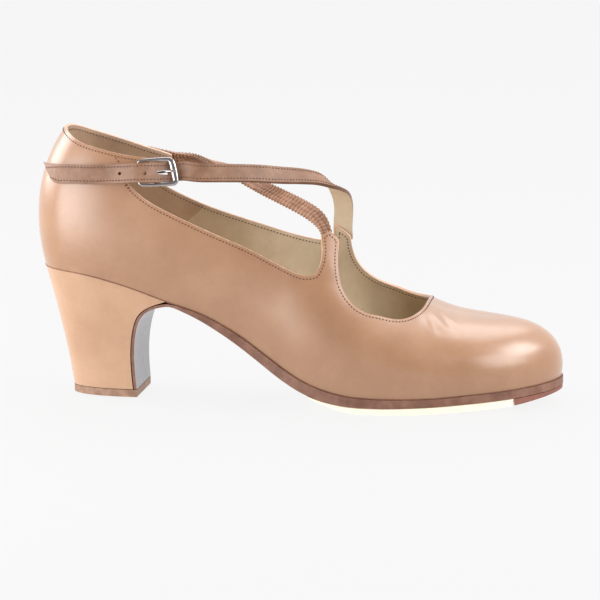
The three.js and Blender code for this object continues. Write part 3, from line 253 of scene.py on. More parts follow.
def leather(name, deep, middle, light, rough, grain_depth, patch=22 * MM, coat=0.0):
    """Dyed leather: clouded colour, pebbled grain and a slightly uneven gloss."""
    material, tree, shader = new_material(name, IOR=1.5, Coat_Weight=coat, Coat_Roughness=0.28)
    place = add(tree, "ShaderNodeTexCoord").outputs["Object"]
    clouds = add(
        tree, "ShaderNodeTexNoise", Vector=place, Scale=1 / patch, Detail=3.0, Roughness=0.55
    ).outputs["Fac"]
    specks = add(
        tree, "ShaderNodeTexNoise", Vector=place, Scale=0.4 / GRAIN, Detail=2.0, Roughness=0.6
    ).outputs["Fac"]
    both = {"operation": "MULTIPLY_ADD"}
    mixed = add(tree, "ShaderNodeMath", both, i0=specks, i1=0.22, i2=clouds).outputs[0]
    ramp = add(tree, "ShaderNodeValToRGB", Fac=mixed)
    stops = ramp.color_ramp.elements
    stops[0].position, stops[0].color = SHADES[0], colour(deep)
    stops[1].position, stops[1].color = SHADES[2], colour(light)
    stops.new(SHADES[1]).color = colour(middle)
    tree.links.new(ramp.outputs["Color"], shader.inputs["Base Color"])
    gloss = add(
        tree, "ShaderNodeMapRange", Value=clouds, To_Min=rough - 0.05, To_Max=rough + 0.07
    )
    tree.links.new(gloss.outputs["Result"], shader.inputs["Roughness"])
    smooth = {"feature": "SMOOTH_F1"}
    pebbles = add(
        tree, "ShaderNodeTexVoronoi", smooth, Vector=place, Scale=1 / GRAIN, Smoothness=0.6
    ).outputs["Distance"]
    bump = add(tree, "ShaderNodeBump", Strength=0.35, Distance=grain_depth, Height=pebbles)
    tree.links.new(bump.outputs["Normal"], shader.inputs["Normal"])
    return material


# %% [markdown]
# ### Leathers of the upper and the heel
#
# One function makes every leather here, from three shades, a roughness and a depth of grain. The
# kinds could each have nodes of their own, but then a change to the grain has to be made many
# times. What sets them apart on a real shoe is just this: shade, polish and how deep the grain is.

# %% Upper and heel leathers
# Calf, dyed and clear coated: the even tan and the soft shine that make the shoe.
upper_leather = leather(
    "tan_calf_leather", "#a07455", "#a77b5b", "#af8363", 0.33, 0.05 * MM, coat=0.9
)
# Thin leather glued round the heel block: a lighter tan, stretched smooth.
heel_leather = leather(
    "tan_heel_cover_leather", "#b98e6e", "#c09675", "#c79d7d", 0.34, 0.04 * MM, coat=0.7
)
# Strap leather, waxed and uncoated: browner, duller and blotched where it is bent.
strap_leather = leather(
    "brown_strap_leather", "#795641", "#87624b", "#957058", 0.46, 0.06 * MM, patch=9 * MM
)
# A cut edge with brown paint on it: a dark line that closes the strap and the lining.
edge_leather = leather("painted_leather_edge", "#694a3b", "#785646", "#886553", 0.5, 0.03 * MM)
# The upper's fold over its edge: a pale line around the opening, a painted highlight along the
# rounded fold.
rim_highlight_leather = leather("folded_edge_painted_highlight", "#c9a184", "#d5ae92", "#dfbaa0", 0.45, 0.03 * MM)
print("leathers so far:", len(bpy.data.materials) - 1)

# %% [markdown]
# ### Linings
#
# Linings are thin, undyed or lightly dyed and never polished, so they look dry and pale beside the
# upper. Colour alone would not show that. The higher roughness takes the highlight away.

# %% Linings
# Thin undyed lining leather: dry beige, which makes the inside of the shoe look light.
lining_leather = leather("beige_lining_leather", "#c3b196", "#d0bea3", "#dccbb1", 0.62, 0.04 * MM)
# Suede with its nap outwards, where the heel must not slip: darker and without any shine.
grip_leather = leather("brown_suede_lining", "#ac927a", "#ba9f86", "#c6ab92", 0.85, 0.08 * MM)
# The strap's back, in cream leather: the light stripe where the strap turns over.
cream_leather = leather("cream_strap_lining", "#d8c4a6", "#e3d0b4", "#ecdcc4", 0.6, 0.03 * MM)

# %% [markdown]
# ### Leathers under the foot
#
# Sole leather is thick and hard. Its cut edge is stained and rubbed, its face is rolled smooth,
# and the lift is a stack of plies. They use the leather finish as well, with smaller clouds where
# a cut shows many fibres close together.

# %% Sole leathers
# Cut edge, stained brown and burnished: a dark, slightly streaked band along the ground.
sole_edge = leather(
    "burnished_sole_edge", "#704a39", "#815947", "#926957", 0.52, 0.06 * MM, patch=7 * MM
)
# Rolled and polished face: a cool grey that is painted reflection of the white floor, under the
# coat's real soft mirror of the floor at the heel's breast.
sole_face = leather(
    "grey_sole_leather_painted_reflection", "#7a757a", "#858085", "#918c91", 0.26, 0.05 * MM, coat=0.3
)
# Sock over the insole board: plain beige under the foot.
sock_leather = leather("beige_sock_leather", "#c2aa8c", "#d0b89a", "#dcc6aa", 0.6, 0.04 * MM)
# Top piece of stacked plies: rough, spotted brown where the heel meets the ground.
lift_leather = leather(
    "stacked_lift_leather", "#86644f", "#9a765f", "#ad8a73", 0.5, 0.06 * MM, patch=5 * MM
)
# Reddish leather plate that holds the toe nails: dull, so that the nails stand out.
plate_leather = leather("nailed_plate_leather", "#7c4c3f", "#8d5a4b", "#9e6a5a", 0.55, 0.06 * MM)
# Raw edge in the join of upper and sole, darkened also for the shade in the joint: a thin dark line
# that is partly painted shade.
seam_edge_and_shade_leather = leather("dark_seam_edge_and_painted_shade", "#724d39", "#835c46", "#936a52", 0.6, 0.02 * MM)
print("leathers so far:", len(bpy.data.materials) - 1)

# %% [markdown]
# ### Gathered leather
#
# Soft leather drawn together by elastic has dark valleys between its ribs, as light and polish
# reach only the ribs. Light alone shows too little of this on ribs so small, so shade is painted
# too. The strap's points will store how much painted shade they get, and the material darkens its
# colour by that number.

# %% Gathered leather
# Thin, supple leather: brown ribs with a faint shine, and painted shade in the valleys between them.
gathered_leather = leather(
    "gathered_strap_leather", "#946e55", "#a67e65", "#b99077", 0.4, 0.04 * MM, patch=9 * MM
)
folds = gathered_leather.node_tree
fold_colour = folds.nodes["Principled BSDF"].inputs["Base Color"]
shade_amount = add(folds, "ShaderNodeAttribute", {"attribute_name": "valley_shade"}).outputs["Fac"]
skin = fold_colour.links[0].from_socket
darken = {"data_type": "RGBA", "blend_type": "MULTIPLY"}
# Painted shade: the colour is multiplied towards this dusky tone by the stored amount.
painted_valley_shade = add(folds, "ShaderNodeMix", darken, i0=shade_amount, i6=skin, i7=colour("#c6b0a5"))
folds.links.new(painted_valley_shade.outputs[2], fold_colour)

# %% [markdown]
# ### Rubber, nickel, thread and steel
#
# The other four need no pebbles. Each is a noise between two near shades, with what marks its
# kind: rubber is matt and has a painted glow for the light that it lets through, nickel is a metal
# with a faint haze, thread is waxed and dull, and the nails' steel is brushed by the floor. A flat
# colour would look like plastic.
# All four noises are drawn coarser than the real crumbs, scratches and fibres, which would be
# too fine to be seen.

# %% Speckled finishes
def speckle(tree, shader, size, detail, dark, light):
    """Gives a shader a colour that wavers between two shades, and returns the noise and colour."""
    place = add(tree, "ShaderNodeTexCoord").outputs["Object"]
    noise = add(tree, "ShaderNodeTexNoise", Vector=place, Scale=1 / size, Detail=detail)
    ramp = add(tree, "ShaderNodeValToRGB", Fac=noise.outputs["Fac"])
    ramp.color_ramp.elements[0].color = colour(dark)
    ramp.color_ramp.elements[1].color = colour(light)
    tree.links.new(ramp.outputs["Color"], shader.inputs["Base Color"])
    return noise.outputs["Fac"], ramp.outputs["Color"]


# Natural crepe rubber: creamy, matt and dented. Its faint glow is painted light that stands for
# light it lets through, and makes it nearly as bright as the table.
PAINTED_RUBBER_GLOW = 0.24
rubber, tree, shader = new_material("pale_crepe_rubber", IOR=1.52, Roughness=0.62)
crumbs, cream = speckle(tree, shader, 1.4 * MM, 3.0, "#f3e2c4", "#fdf3dc")
tree.links.new(cream, shader.inputs["Emission Color"])
shader.inputs["Emission Strength"].default_value = PAINTED_RUBBER_GLOW
dent = add(tree, "ShaderNodeBump", Strength=0.3, Distance=0.08 * MM, Height=crumbs)
tree.links.new(dent.outputs["Normal"], shader.inputs["Normal"])

# Nickel plate: bright, cool mirrors with a haze of wear.
nickel, tree, shader = new_material("polished_nickel", Metallic=1.0, Roughness=0.16)
wear, _ = speckle(tree, shader, 1.5 * MM, 4.0, "#a39d9e", "#c2bcbb")
haze = add(tree, "ShaderNodeMapRange", Value=wear, To_Min=0.10, To_Max=0.26)
tree.links.new(haze.outputs["Result"], shader.inputs["Roughness"])

# Waxed polyester thread: fine dark dashes along every edge.
thread, tree, shader = new_material("waxed_brown_thread", IOR=1.5, Roughness=0.6)
speckle(tree, shader, 0.5 * MM, 2.0, "#5a3628", "#6f4735")

# Steel of the nail heads: grey, with a blurred shine from use.
nail_steel, tree, shader = new_material("dull_nail_steel", Metallic=1.0, Roughness=0.38)
speckle(tree, shader, 0.8 * MM, 4.0, "#85807c", "#b9b4af")
print("materials:", len(bpy.data.materials))

# %% [markdown]
# ## From solid to piece
#
# The solids are faceted: right in shape and place, but with flat cells. A shoe could be modelled
# anew over them, but then it would drift from their sizes. So a copy of a solid is merged, its
# triangles are turned back into four-sided faces, its real edges are creased, and a subdivision
# surface rounds the rest. Its panels, such as the outside and the lining, are the faces up to the
# sharp edges, and each gets its own finish.

# %% Copying a solid
def only(piece):
    """Selects one object alone and makes it the active one."""
    bpy.ops.object.select_all(action="DESELECT")
    piece.select_set(True)
    bpy.context.view_layer.objects.active = piece


def copy_node(node, name):
    """A merged, four-sided copy of a solid to start a piece from."""
    only(frame["nodes"][node])
    bpy.ops.object.duplicate()
    piece = bpy.context.active_object
    for key in list(piece.keys()):
        del piece[key]
    piece.parent = None
    piece.name = piece.data.name = name
    piece.data.materials.clear()
    bpy.ops.mesh.customdata_custom_splitnormals_clear()
    bpy.ops.object.mode_set(mode="EDIT")
    bpy.ops.mesh.select_all(action="SELECT")
    bpy.ops.mesh.remove_doubles(threshold=0.01 * MM)
    bpy.ops.mesh.tris_convert_to_quads(
        face_threshold=math.radians(50), shape_threshold=math.radians(75)
    )
    bpy.ops.mesh.select_all(action="DESELECT")
    bpy.ops.object.mode_set(mode="OBJECT")
    return piece


# %% [markdown]
# ## Edges and panels
#
# Where two sheets of leather meet or one is cut, the edge is crisp. Edges could be picked one by
# one. An angle finds them all, as the solids bend gently elsewhere. The same edges part a piece
# into panels, so a finish can be poured over one panel from any of its faces and stops by itself.

# %% Edges and panels
def mark_edges(piece, angle):
    """Marks the edges that bend by more than an angle, in degrees, as sharp and creased."""
    only(piece)
    bpy.ops.object.mode_set(mode="EDIT")
    bpy.ops.mesh.select_mode(type="EDGE")
    bpy.ops.mesh.select_all(action="DESELECT")
    bpy.ops.mesh.edges_select_sharp(sharpness=math.radians(angle))
    bpy.ops.mesh.mark_sharp()
    bpy.ops.mesh.select_mode(type="FACE")
    bpy.ops.mesh.select_all(action="DESELECT")
    bpy.ops.object.mode_set(mode="OBJECT")
    crease = piece.data.attributes.new("crease_edge", "FLOAT", "EDGE")
    for edge in piece.data.edges:
        crease.data[edge.index].value = 1.0 if edge.use_edge_sharp else 0.0


def paint_panel(piece, slot, near, facing):
    """Gives a finish to the panel around the face that is nearest a place and faces a way."""
    near, facing = Vector(near), Vector(facing)
    faces = [f for f in piece.data.polygons if f.normal.dot(facing) > 0.6]
    start = min(faces, key=lambda f: (f.center - near).length).index
    only(piece)
    bpy.ops.object.mode_set(mode="EDIT")
    bpy.ops.mesh.select_mode(type="FACE")
    bpy.ops.mesh.select_all(action="DESELECT")
    bpy.ops.object.mode_set(mode="OBJECT")
    piece.data.polygons[start].select = True
    bpy.ops.object.mode_set(mode="EDIT")
    bpy.ops.mesh.select_linked(delimit={"SHARP"})
    piece.active_material_index = slot
    bpy.ops.object.material_slot_assign()
    bpy.ops.object.mode_set(mode="OBJECT")
    count = sum(1 for f in piece.data.polygons if f.material_index == slot)
    print(piece.name, "slot", slot, "faces", count)


# %% [markdown]
# ## Rounding and finishing
#
# Skived, folded and hammered leather has no flat facets. Smooth shading alone would leave them in
# the outline, so a subdivision surface is applied, which keeps the creased edges. Every finished
# piece then rides the shoe's one body, and the solid that it stands for is hidden.

# %% Rounding and finishing
def round_off(piece, levels):
    """Subdivides a piece smoothly between its creases."""
    only(piece)
    bpy.ops.object.modifier_add(type="SUBSURF")
    modifier = piece.modifiers[-1]
    modifier.levels = modifier.render_levels = levels
    bpy.ops.object.modifier_apply(modifier=modifier.name)
    bpy.ops.object.shade_smooth()


def finish_piece(piece, slot, *nodes):
    """Rides the shoe and hides the solids that it stands for; its slot is not used."""
    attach(piece, "root")
    if nodes:
        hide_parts(*nodes)
    print(piece.name, "triangles", sum(len(f.vertices) - 2 for f in piece.data.polygons))


def dress(node, name, finish, slot, angle=40):
    """A whole piece in one finish: copied, creased at its edges and rounded."""
    piece = copy_node(node, name)
    piece.data.materials.append(finish)
    mark_edges(piece, angle)
    round_off(piece, 2)
    finish_piece(piece, slot, node)
    return piece


# %% [markdown]
# ## Lines on a surface, and what is laid along them
#
# Seams and stitches follow the borders of a panel. They could be drawn as curves by hand, and
# would miss the leather wherever it bends. So a border is read from the finished mesh, set in
# by the distance that a machinist leaves, and kept on the leather by looking for the nearest place
# on the panel. One model, such as a stitch, is made once, and its copies are laid along that line.

# %% Borders of a panel
def panel_tree(piece, *slots):
    """A search tree over the faces that have one of some finishes."""
    mesh = piece.data
    faces = [list(f.vertices) for f in mesh.polygons if f.material_index in slots]
    return BVHTree.FromPolygons([v.co for v in mesh.vertices], faces)


def borders(piece, slot, other):
    """The closed lines of vertices between the faces of two finishes, highest first."""
    mesh = piece.data
    owners = {}
    for face in mesh.polygons:
        for key in face.edge_keys:
            owners.setdefault(key, set()).add(face.material_index)
    beside = {}
    for (a, b), slots in owners.items():
        if slots == {slot, other}:
            beside.setdefault(a, []).append(b)
            beside.setdefault(b, []).append(a)
    lines, left = [], set(beside)
    while left:
        line = [min(left)]
        left.discard(line[0])
        while True:
            onward = [i for i in beside[line[-1]] if i in left]
            if not onward:
                break
            line.append(onward[0])
            left.discard(onward[0])
        lines.append(line)
    return sorted(lines, key=lambda line: -sum(mesh.vertices[i].co.z for i in line) / len(line))


def points_of(piece, line):
    """The places of a line of vertices."""
    return [piece.data.vertices[i].co.copy() for i in line]


def length_mm(line):
    """The length of a line, in millimetres."""
    return round(sum((b - a).length for a, b in zip(line, line[1:])) / MM)


# %% [markdown]
# A machinist guides the edge along the foot of the machine, so each row keeps its distance from
# the edge. Scaling the border would not, as it bends in and out. Each point is moved sideways over
# the leather to whichever side lies on the panel, and left out where a corner brings it too close.
# Walking the line at an even pitch then gives the needle's places.

# %% Inset lines and even spacing
def inset_line(line, panel, inset):
    """A closed line moved over a panel, away from the border that it follows."""
    tree = KDTree(len(line))
    for i, point in enumerate(line):
        tree.insert(point, i)
    tree.balance()
    moved = []
    for i, point in enumerate(line):
        run = line[(i + 1) % len(line)] - line[i - 1]
        _, normal, _, _ = panel.find_nearest(point)
        across = normal.cross(run).normalized()
        found = [panel.find_nearest(point + way * inset) for way in (across, -across)]
        place = min(found, key=lambda hit: hit[3])[0]
        if tree.find(place)[2] > 0.9 * inset:
            moved.append(place)
    return moved


def even(line, pitch, closed=False):
    """Places at an even pitch along a line, each with the line's direction there."""
    points = line + line[:1] if closed else line
    gaps = [(b - a).length for a, b in zip(points, points[1:])]
    count = max(int(sum(gaps) / pitch), 1)
    step, walked, places, target = sum(gaps) / count, 0.0, [], 0.5 * sum(gaps) / count
    for a, b, gap in zip(points, points[1:], gaps):
        while gap and walked + gap >= target and len(places) < count:
            places.append((a.lerp(b, (target - walked) / gap), (b - a) / gap))
            target += step
        walked += gap
    return places


# %% [markdown]
# Hundreds of stitches and nails are alike. An array modifier follows one curve only and turns with
# it, not with the leather. So each copy gets a place and a turn of its own, and all are joined.

# %% Copies of a model
def lay_copies(name, model, frames):
    """Copies of a small model at the given frames, joined as one piece. The model is deleted."""
    bpy.ops.object.select_all(action="DESELECT")
    copies = []
    for matrix in frames:
        copy = model.copy()
        copy.data = model.data.copy()
        copy.matrix_world = matrix
        bpy.context.collection.objects.link(copy)
        copy.select_set(True)
        copies.append(copy)
    bpy.data.objects.remove(model, do_unlink=True)
    bpy.context.view_layer.objects.active = copies[0]
    bpy.ops.object.join()
    piece = bpy.context.active_object
    piece.name = piece.data.name = name
    bpy.ops.object.transform_apply(location=True, rotation=True, scale=True)
    bpy.ops.object.shade_smooth()
    return piece


# %% [markdown]
# ## One stitch
#
# A stitch of a sewing machine is a short round of thread that dips into the leather at both ends.
# A dashed line in the material would lie flat and give no shadow. A small sphere, stretched and
# bent down at its ends, has few faces and looks right even from near.

# %% One stitch
STITCH = {"length": 0.95 * MM, "width": 0.62 * MM, "pitch": 1.55 * MM}
DIP, STITCH_RISE = 0.16 * MM, 0.06 * MM


def stitch_model():
    """A short round of thread whose ends dip into the leather."""
    bpy.ops.mesh.primitive_uv_sphere_add(segments=6, ring_count=5, radius=0.5)
    model = bpy.context.active_object
    model.data.materials.append(thread)
    bpy.ops.object.mode_set(mode="EDIT")
    bpy.ops.mesh.select_all(action="SELECT")
    bpy.ops.transform.rotate(value=math.pi / 2, orient_axis="Y", center_override=(0, 0, 0))
    bpy.ops.transform.resize(value=(STITCH["length"], STITCH["width"], STITCH["width"]))
    bpy.ops.object.mode_set(mode="OBJECT")
    for vertex in model.data.vertices:
        vertex.co.z -= DIP * (2 * vertex.co.x / STITCH["length"]) ** 2
    return model


def sew(name, lines, panel):
    """Rows of stitches along lines on a panel, each line given with whether it is closed."""
    frames = []
    for line, closed in lines:
        for place, run in even(line, STITCH["pitch"], closed):
            spot, normal, _, _ = panel.find_nearest(place)
            side = normal.cross(run).normalized()
            turn = Matrix((side.cross(normal), side, normal)).transposed().to_4x4()
            frames.append(Matrix.Translation(spot + normal * STITCH_RISE) @ turn)
    piece = lay_copies(name, stitch_model(), frames)
    print(name, "stitches", len(frames))
    return piece


# %% [markdown]
# ## The upper
#
# Vamp and quarters are one closed surface pulled over the last, with no seam on the outer side.
# Its top edge is folded over and stitched to a beige lining, and the lining's own edge is trimmed
# and dark. It could be two sheets, one in the other, but they would touch. It is one shell with a
# finish for each panel. The fold is creased only by half, so that it stays round.

# %% Upper
OUTSIDE, LINING, RIM, GRIP, TRIMMED = range(5)
FOLD = 0.55
upper = copy_node("upper", "upper_leather_shell")
# The fold's pale finish is a painted highlight; the other finishes are the leathers' own colours.
for finish in (upper_leather, lining_leather, rim_highlight_leather, grip_leather, edge_leather):
    upper.data.materials.append(finish)
mark_edges(upper, 50)
upper.data.polygons.foreach_set("material_index", [RIM] * len(upper.data.polygons))
low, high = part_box("upper")
paint_panel(upper, OUTSIDE, (0, low.y, 0.03), (0, -1, 0))
paint_panel(upper, LINING, (low.x + 0.003, 0, 0.09), (1, 0, 0))

top_edge = set(borders(upper, OUTSIDE, RIM)[0]) | set(borders(upper, LINING, RIM)[0])
creases = upper.data.attributes["crease_edge"]
for edge in upper.data.edges:
    if edge.use_edge_sharp and set(edge.vertices) <= top_edge:
        creases.data[edge.index].value = FOLD
round_off(upper, 2)
inner_line = points_of(upper, borders(upper, LINING, RIM)[0])
trimmed = {i for f in upper.data.polygons if f.material_index == LINING for i in f.vertices}
for face in upper.data.polygons:
    if face.material_index == RIM and trimmed & set(face.vertices):
        face.material_index = TRIMMED
print("inner edge", length_mm(inner_line), "mm")

# %% [markdown]
# ## Creases where the foot bends
#
# Behind the toes the leather of a worn or tried shoe keeps a few soft folds. They could be a bump
# in the material, but the outline of the highlight needs real shape. Each fold is a line of
# points. The leather near it is pressed in, and swells a little on both sides.

# %% Creases
FLEX_LINES = [
    [
        (63.0, -4.5, 42.6),
        (65.9, -9.9, 40.8),
        (68.7, -14.7, 39.0),
        (71.4, -18.7, 37.1),
        (74.1, -22.9, 34.8),
    ],
    [(61.6, -16.7, 40.5), (64.1, -21.8, 37.9), (67.3, -26.1, 34.7)],
]
FLEX = {"depth": 0.34 * MM, "width": 1.7 * MM, "swell": 0.22 * MM}


def press_lines(piece, slot, lines, depth, width, swell):
    """Presses soft creases into a panel along lines, with a low swell beside each."""
    mesh = piece.data
    marks = [[Vector(p) * MM for p in line] for line in lines]
    faces = {i for f in mesh.polygons if f.material_index == slot for i in f.vertices}
    for index in faces:
        vertex = mesh.vertices[index]
        for line in marks:
            best, share = 1.0, 0.0
            for k, (a, b) in enumerate(zip(line, line[1:])):
                t = max(0.0, min(1.0, (vertex.co - a).dot(b - a) / (b - a).length_squared))
                gap = (vertex.co - a.lerp(b, t)).length
                if gap < best:
                    best, share = gap, (k + t) / (len(line) - 1)
            if best < 4 * width:
                fade = math.sin(math.pi * min(max(share, 0.04), 0.96))
                push = -depth * math.exp(-((best / width) ** 2))
                push += swell * math.exp(-((best / width - 2) ** 2))
                vertex.co += vertex.normal * push * fade


press_lines(upper, OUTSIDE, FLEX_LINES, FLEX["depth"], FLEX["width"], FLEX["swell"])
print("creases:", len(FLEX_LINES))

# %% [markdown]
# ## Suede grip at the heel
#
# A pocket of suede is sewn over the lining at the heel, so that the foot doesn't slip. It could be
# a sheet of its own, a hair above the lining. It is simpler to cut the lining with a plane where
# the suede ends, give the part behind it another finish and raise it by the suede's thickness.

# %% Suede grip
GRIP_FRONT = Vector((-46.9, 19.1, 83.9)) * MM
GRIP_CUT = Vector((4.8, 0, -5.3)).normalized()
NAP = 0.35 * MM
only(upper)
bpy.ops.object.mode_set(mode="EDIT")
bpy.ops.mesh.select_mode(type="FACE")
bpy.ops.mesh.select_all(action="DESELECT")
upper.active_material_index = LINING
bpy.ops.object.material_slot_select()
bpy.ops.mesh.bisect(plane_co=GRIP_FRONT, plane_no=GRIP_CUT)
bpy.ops.object.mode_set(mode="OBJECT")
for face in upper.data.polygons:
    if face.material_index == LINING and (face.center - GRIP_FRONT).dot(GRIP_CUT) < 0:
        face.material_index = GRIP
shared = {i for f in upper.data.polygons if f.material_index != GRIP for i in f.vertices}
nap = {i for f in upper.data.polygons if f.material_index == GRIP for i in f.vertices} - shared
lift_by = {i: upper.data.vertices[i].normal * NAP for i in nap}
for i, push in lift_by.items():
    upper.data.vertices[i].co += push
bpy.ops.object.shade_smooth()
finish_piece(upper, "upper_leather", "upper")

# %% [markdown]
# ## Stitches of the topline
#
# A single row of stitches runs around the opening, 1.45 mm from the edge, and holds the fold and
# the lining together. It shows outside and inside, and a short row crosses the root of the ear
# where the strap is caught. Its line is the border of the outer panel, set in over the leather.

# %% Topline stitches
SET_IN = 1.45 * MM
EAR_ROOT = [
    Vector(p) * MM
    for p in (
        (-80.1, -25.3, 111.6),
        (-78.6, -25.7, 109.8),
        (-76.4, -27.0, 105.0),
        (-74.6, -27.8, 99.8),
        (-72.9, -28.2, 97.4),
    )
]
outside = panel_tree(upper, OUTSIDE)
top_line, *_, foot_line = [points_of(upper, line) for line in borders(upper, OUTSIDE, RIM)]
print("topline", length_mm(top_line), "mm")
rows = [(inset_line(top_line, outside, SET_IN), True), (EAR_ROOT, False)]
topline = sew("topline_stitches", rows, outside)
finish_piece(topline, "upper_leather")
inside = panel_tree(upper, LINING, GRIP)
shown = sew("lining_stitches", [(inset_line(inner_line, inside, SET_IN), True)], inside)
finish_piece(shown, "upper_leather")

# %% [markdown]
# ## The seam line above the sole
#
# Where upper and sole meet, a thin dark line shows: raw leather and glue, and the shade in the
# joint. Between two pieces that lie close, a render shows a bright slit instead. A dark band could
# be painted on the upper, but would not fill the slit. A thin dark cord along the upper's lower
# border does both, and its colour is partly painted shade.

# %% Seam line
CORD_RADIUS, CORD_STEP = 0.32 * MM, 1.5 * MM


def lay_cord(name, line, radius, closed, finish):
    """A thin round cord through a line of points, as one closed tube."""
    curve = bpy.data.curves.new(name, "CURVE")
    curve.dimensions = "3D"
    spline = curve.splines.new("POLY")
    spline.points.add(len(line) - 1)
    for spot, point in zip(spline.points, line):
        spot.co = (*point, 1)
    spline.use_cyclic_u = closed
    curve.bevel_depth = radius
    curve.bevel_resolution = 1
    curve.use_fill_caps = not closed
    piece = bpy.data.objects.new(name, curve)
    bpy.context.collection.objects.link(piece)
    only(piece)
    bpy.ops.object.convert(target="MESH")
    piece = bpy.context.active_object
    piece.data.materials.append(finish)
    bpy.ops.object.shade_smooth()
    return piece


cord_line = [place for place, _ in even(foot_line, CORD_STEP, True)]
seam = lay_cord("seam_line_above_sole", cord_line, CORD_RADIUS, True, seam_edge_and_shade_leather)
finish_piece(seam, "sole_leather")

# %% [markdown]
# ## The soles
#
# The leather outsole runs from the toe to the breast of the heel and turns down it. Its edge is
# stained brown and burnished, its face is polished, and its cool grey is painted reflection of the
# floor. Under the forefoot lies a half sole of pale rubber, and before it a plate for the nails that
# give the shoe its sound. They could be extruded anew from outlines, but would then part from the
# upper. The copies already lie on it. All of them are cut from sheet, so their edges stay crisp and
# only their outlines are rounded.

# %% Soles
SOLE_FACE = 1
outsole = copy_node("outsole", "leather_outsole")
for finish in (sole_edge, sole_face):
    outsole.data.materials.append(finish)
mark_edges(outsole, 40)
paint_panel(outsole, SOLE_FACE, (0.0, 0, 0.01), (0, 0, -1))
round_off(outsole, 2)
finish_piece(outsole, "sole_leather", "outsole")
dress("half_sole", "rubber_half_sole", rubber, "sole_rubber")
toe_plate = dress("toe_plate", "toe_plate_leather", plate_leather, "nail_plate")
dress("insole", "sock_lining", sock_leather, "insole_leather")

# %% [markdown]
# ## The heel and its lift
#
# The heel is a block of wood with leather glued around it. Its cover reaches forward to a thin tip
# under the waist, which is drawn a little longer than the solid, so that no dark gap shows there.
# The lift under it stands on its nail heads, so its underside is raised by their height. They
# could be cut from a block anew, but the solids' curved sides are already right, so both are copies.

# %% Heel and lift
NAIL = {"radius": 1.0 * MM, "height": 0.35 * MM, "pitch": 3.1 * MM, "edge": 2.0 * MM}
TIP_REACH, TIP_STRETCH = 1.5 * MM, 1.8 * MM
TIP_WAY = Vector((0.94, 0, -0.34))
heel = copy_node("heel", "covered_heel")
heel.data.materials.append(heel_leather)
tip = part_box("heel")[1].x
for vertex in heel.data.vertices:
    if vertex.co.x > tip - TIP_REACH:
        vertex.co += TIP_WAY * TIP_STRETCH
mark_edges(heel, 26)
round_off(heel, 2)
finish_piece(heel, "heel_cover", "heel")

lift = copy_node("heel_lift", "stacked_heel_lift")
lift.data.materials.append(lift_leather)
mark_edges(lift, 40)
for vertex in lift.data.vertices:
    if vertex.co.z < 0.1 * MM:
        vertex.co.z += NAIL["height"]
round_off(lift, 2)
finish_piece(lift, "lift", "heel_lift")

# %% [markdown]
# ## Nails of the toe and the heel
#
# Rows of small domed nails make the sound of the dance. They could be a pattern in the material,
# but they stand out from the leather and are the first thing that touches the ground. One nail
# head is modelled, and copies are laid in staggered rows wherever the leather is flat enough and
# far enough from its edge.

# %% Nails
FLATNESS = 0.8
AROUND = ((1, 0), (-1, 0), (0, 1), (0, -1))


def nail_model():
    """A low domed nail head: a round, flattened to its height."""
    bpy.ops.mesh.primitive_uv_sphere_add(segments=10, ring_count=6, radius=NAIL["radius"])
    model = bpy.context.active_object
    model.data.materials.append(nail_steel)
    bpy.ops.object.mode_set(mode="EDIT")
    bpy.ops.mesh.select_all(action="SELECT")
    bpy.ops.transform.resize(value=(1, 1, NAIL["height"] / NAIL["radius"]))
    bpy.ops.object.mode_set(mode="OBJECT")
    return model


def nail_down(name, piece, slot):
    """Close rows of nail heads over the underside of a piece."""
    under = panel_tree(piece, 0)
    low = [min(v.co[k] for v in piece.data.vertices) for k in range(3)]
    high = [max(v.co[k] for v in piece.data.vertices) for k in range(3)]
    frames, row, x = [], 0, low[0] + NAIL["edge"]
    while x < high[0] - 0.5 * NAIL["edge"]:
        y = low[1] + NAIL["edge"] + (row % 2) * 0.5 * NAIL["pitch"]
        while y < high[1] - 0.5 * NAIL["edge"]:
            spots = [(x, y)] + [(x + a * NAIL["edge"], y + b * NAIL["edge"]) for a, b in AROUND]
            hits = [under.ray_cast(Vector((*spot, -0.05)), Vector((0, 0, 1))) for spot in spots]
            flat = all(hit[0] is not None and hit[1].z < -FLATNESS for hit in hits)
            if flat and hits[0][0].z > 0.9 * NAIL["height"]:
                turn = hits[0][1].to_track_quat("Z", "Y").to_matrix().to_4x4()
                frames.append(Matrix.Translation(hits[0][0]) @ turn)
            y += NAIL["pitch"]
        x += NAIL["pitch"] * 0.87
        row += 1
    print(name, "nails", len(frames))
    finish_piece(lay_copies(name, nail_model(), frames), slot)


nail_down("toe_nails", toe_plate, "nail_plate")
nail_down("heel_nails", lift, "lift")

# %% [markdown]
# ## Measuring a strap
#
# A strap bends and twists, so its length can't be read from x, y or z. It could be unwrapped, but
# counting is simpler. Each row of points across it is found from the one before, and the distance
# along the strap and across it is stored on the points. Stitches, holes and ribs then go by those
# distances, however the strap turns.

# %% Measuring a strap
FIRST_ROW = 7.5 * MM


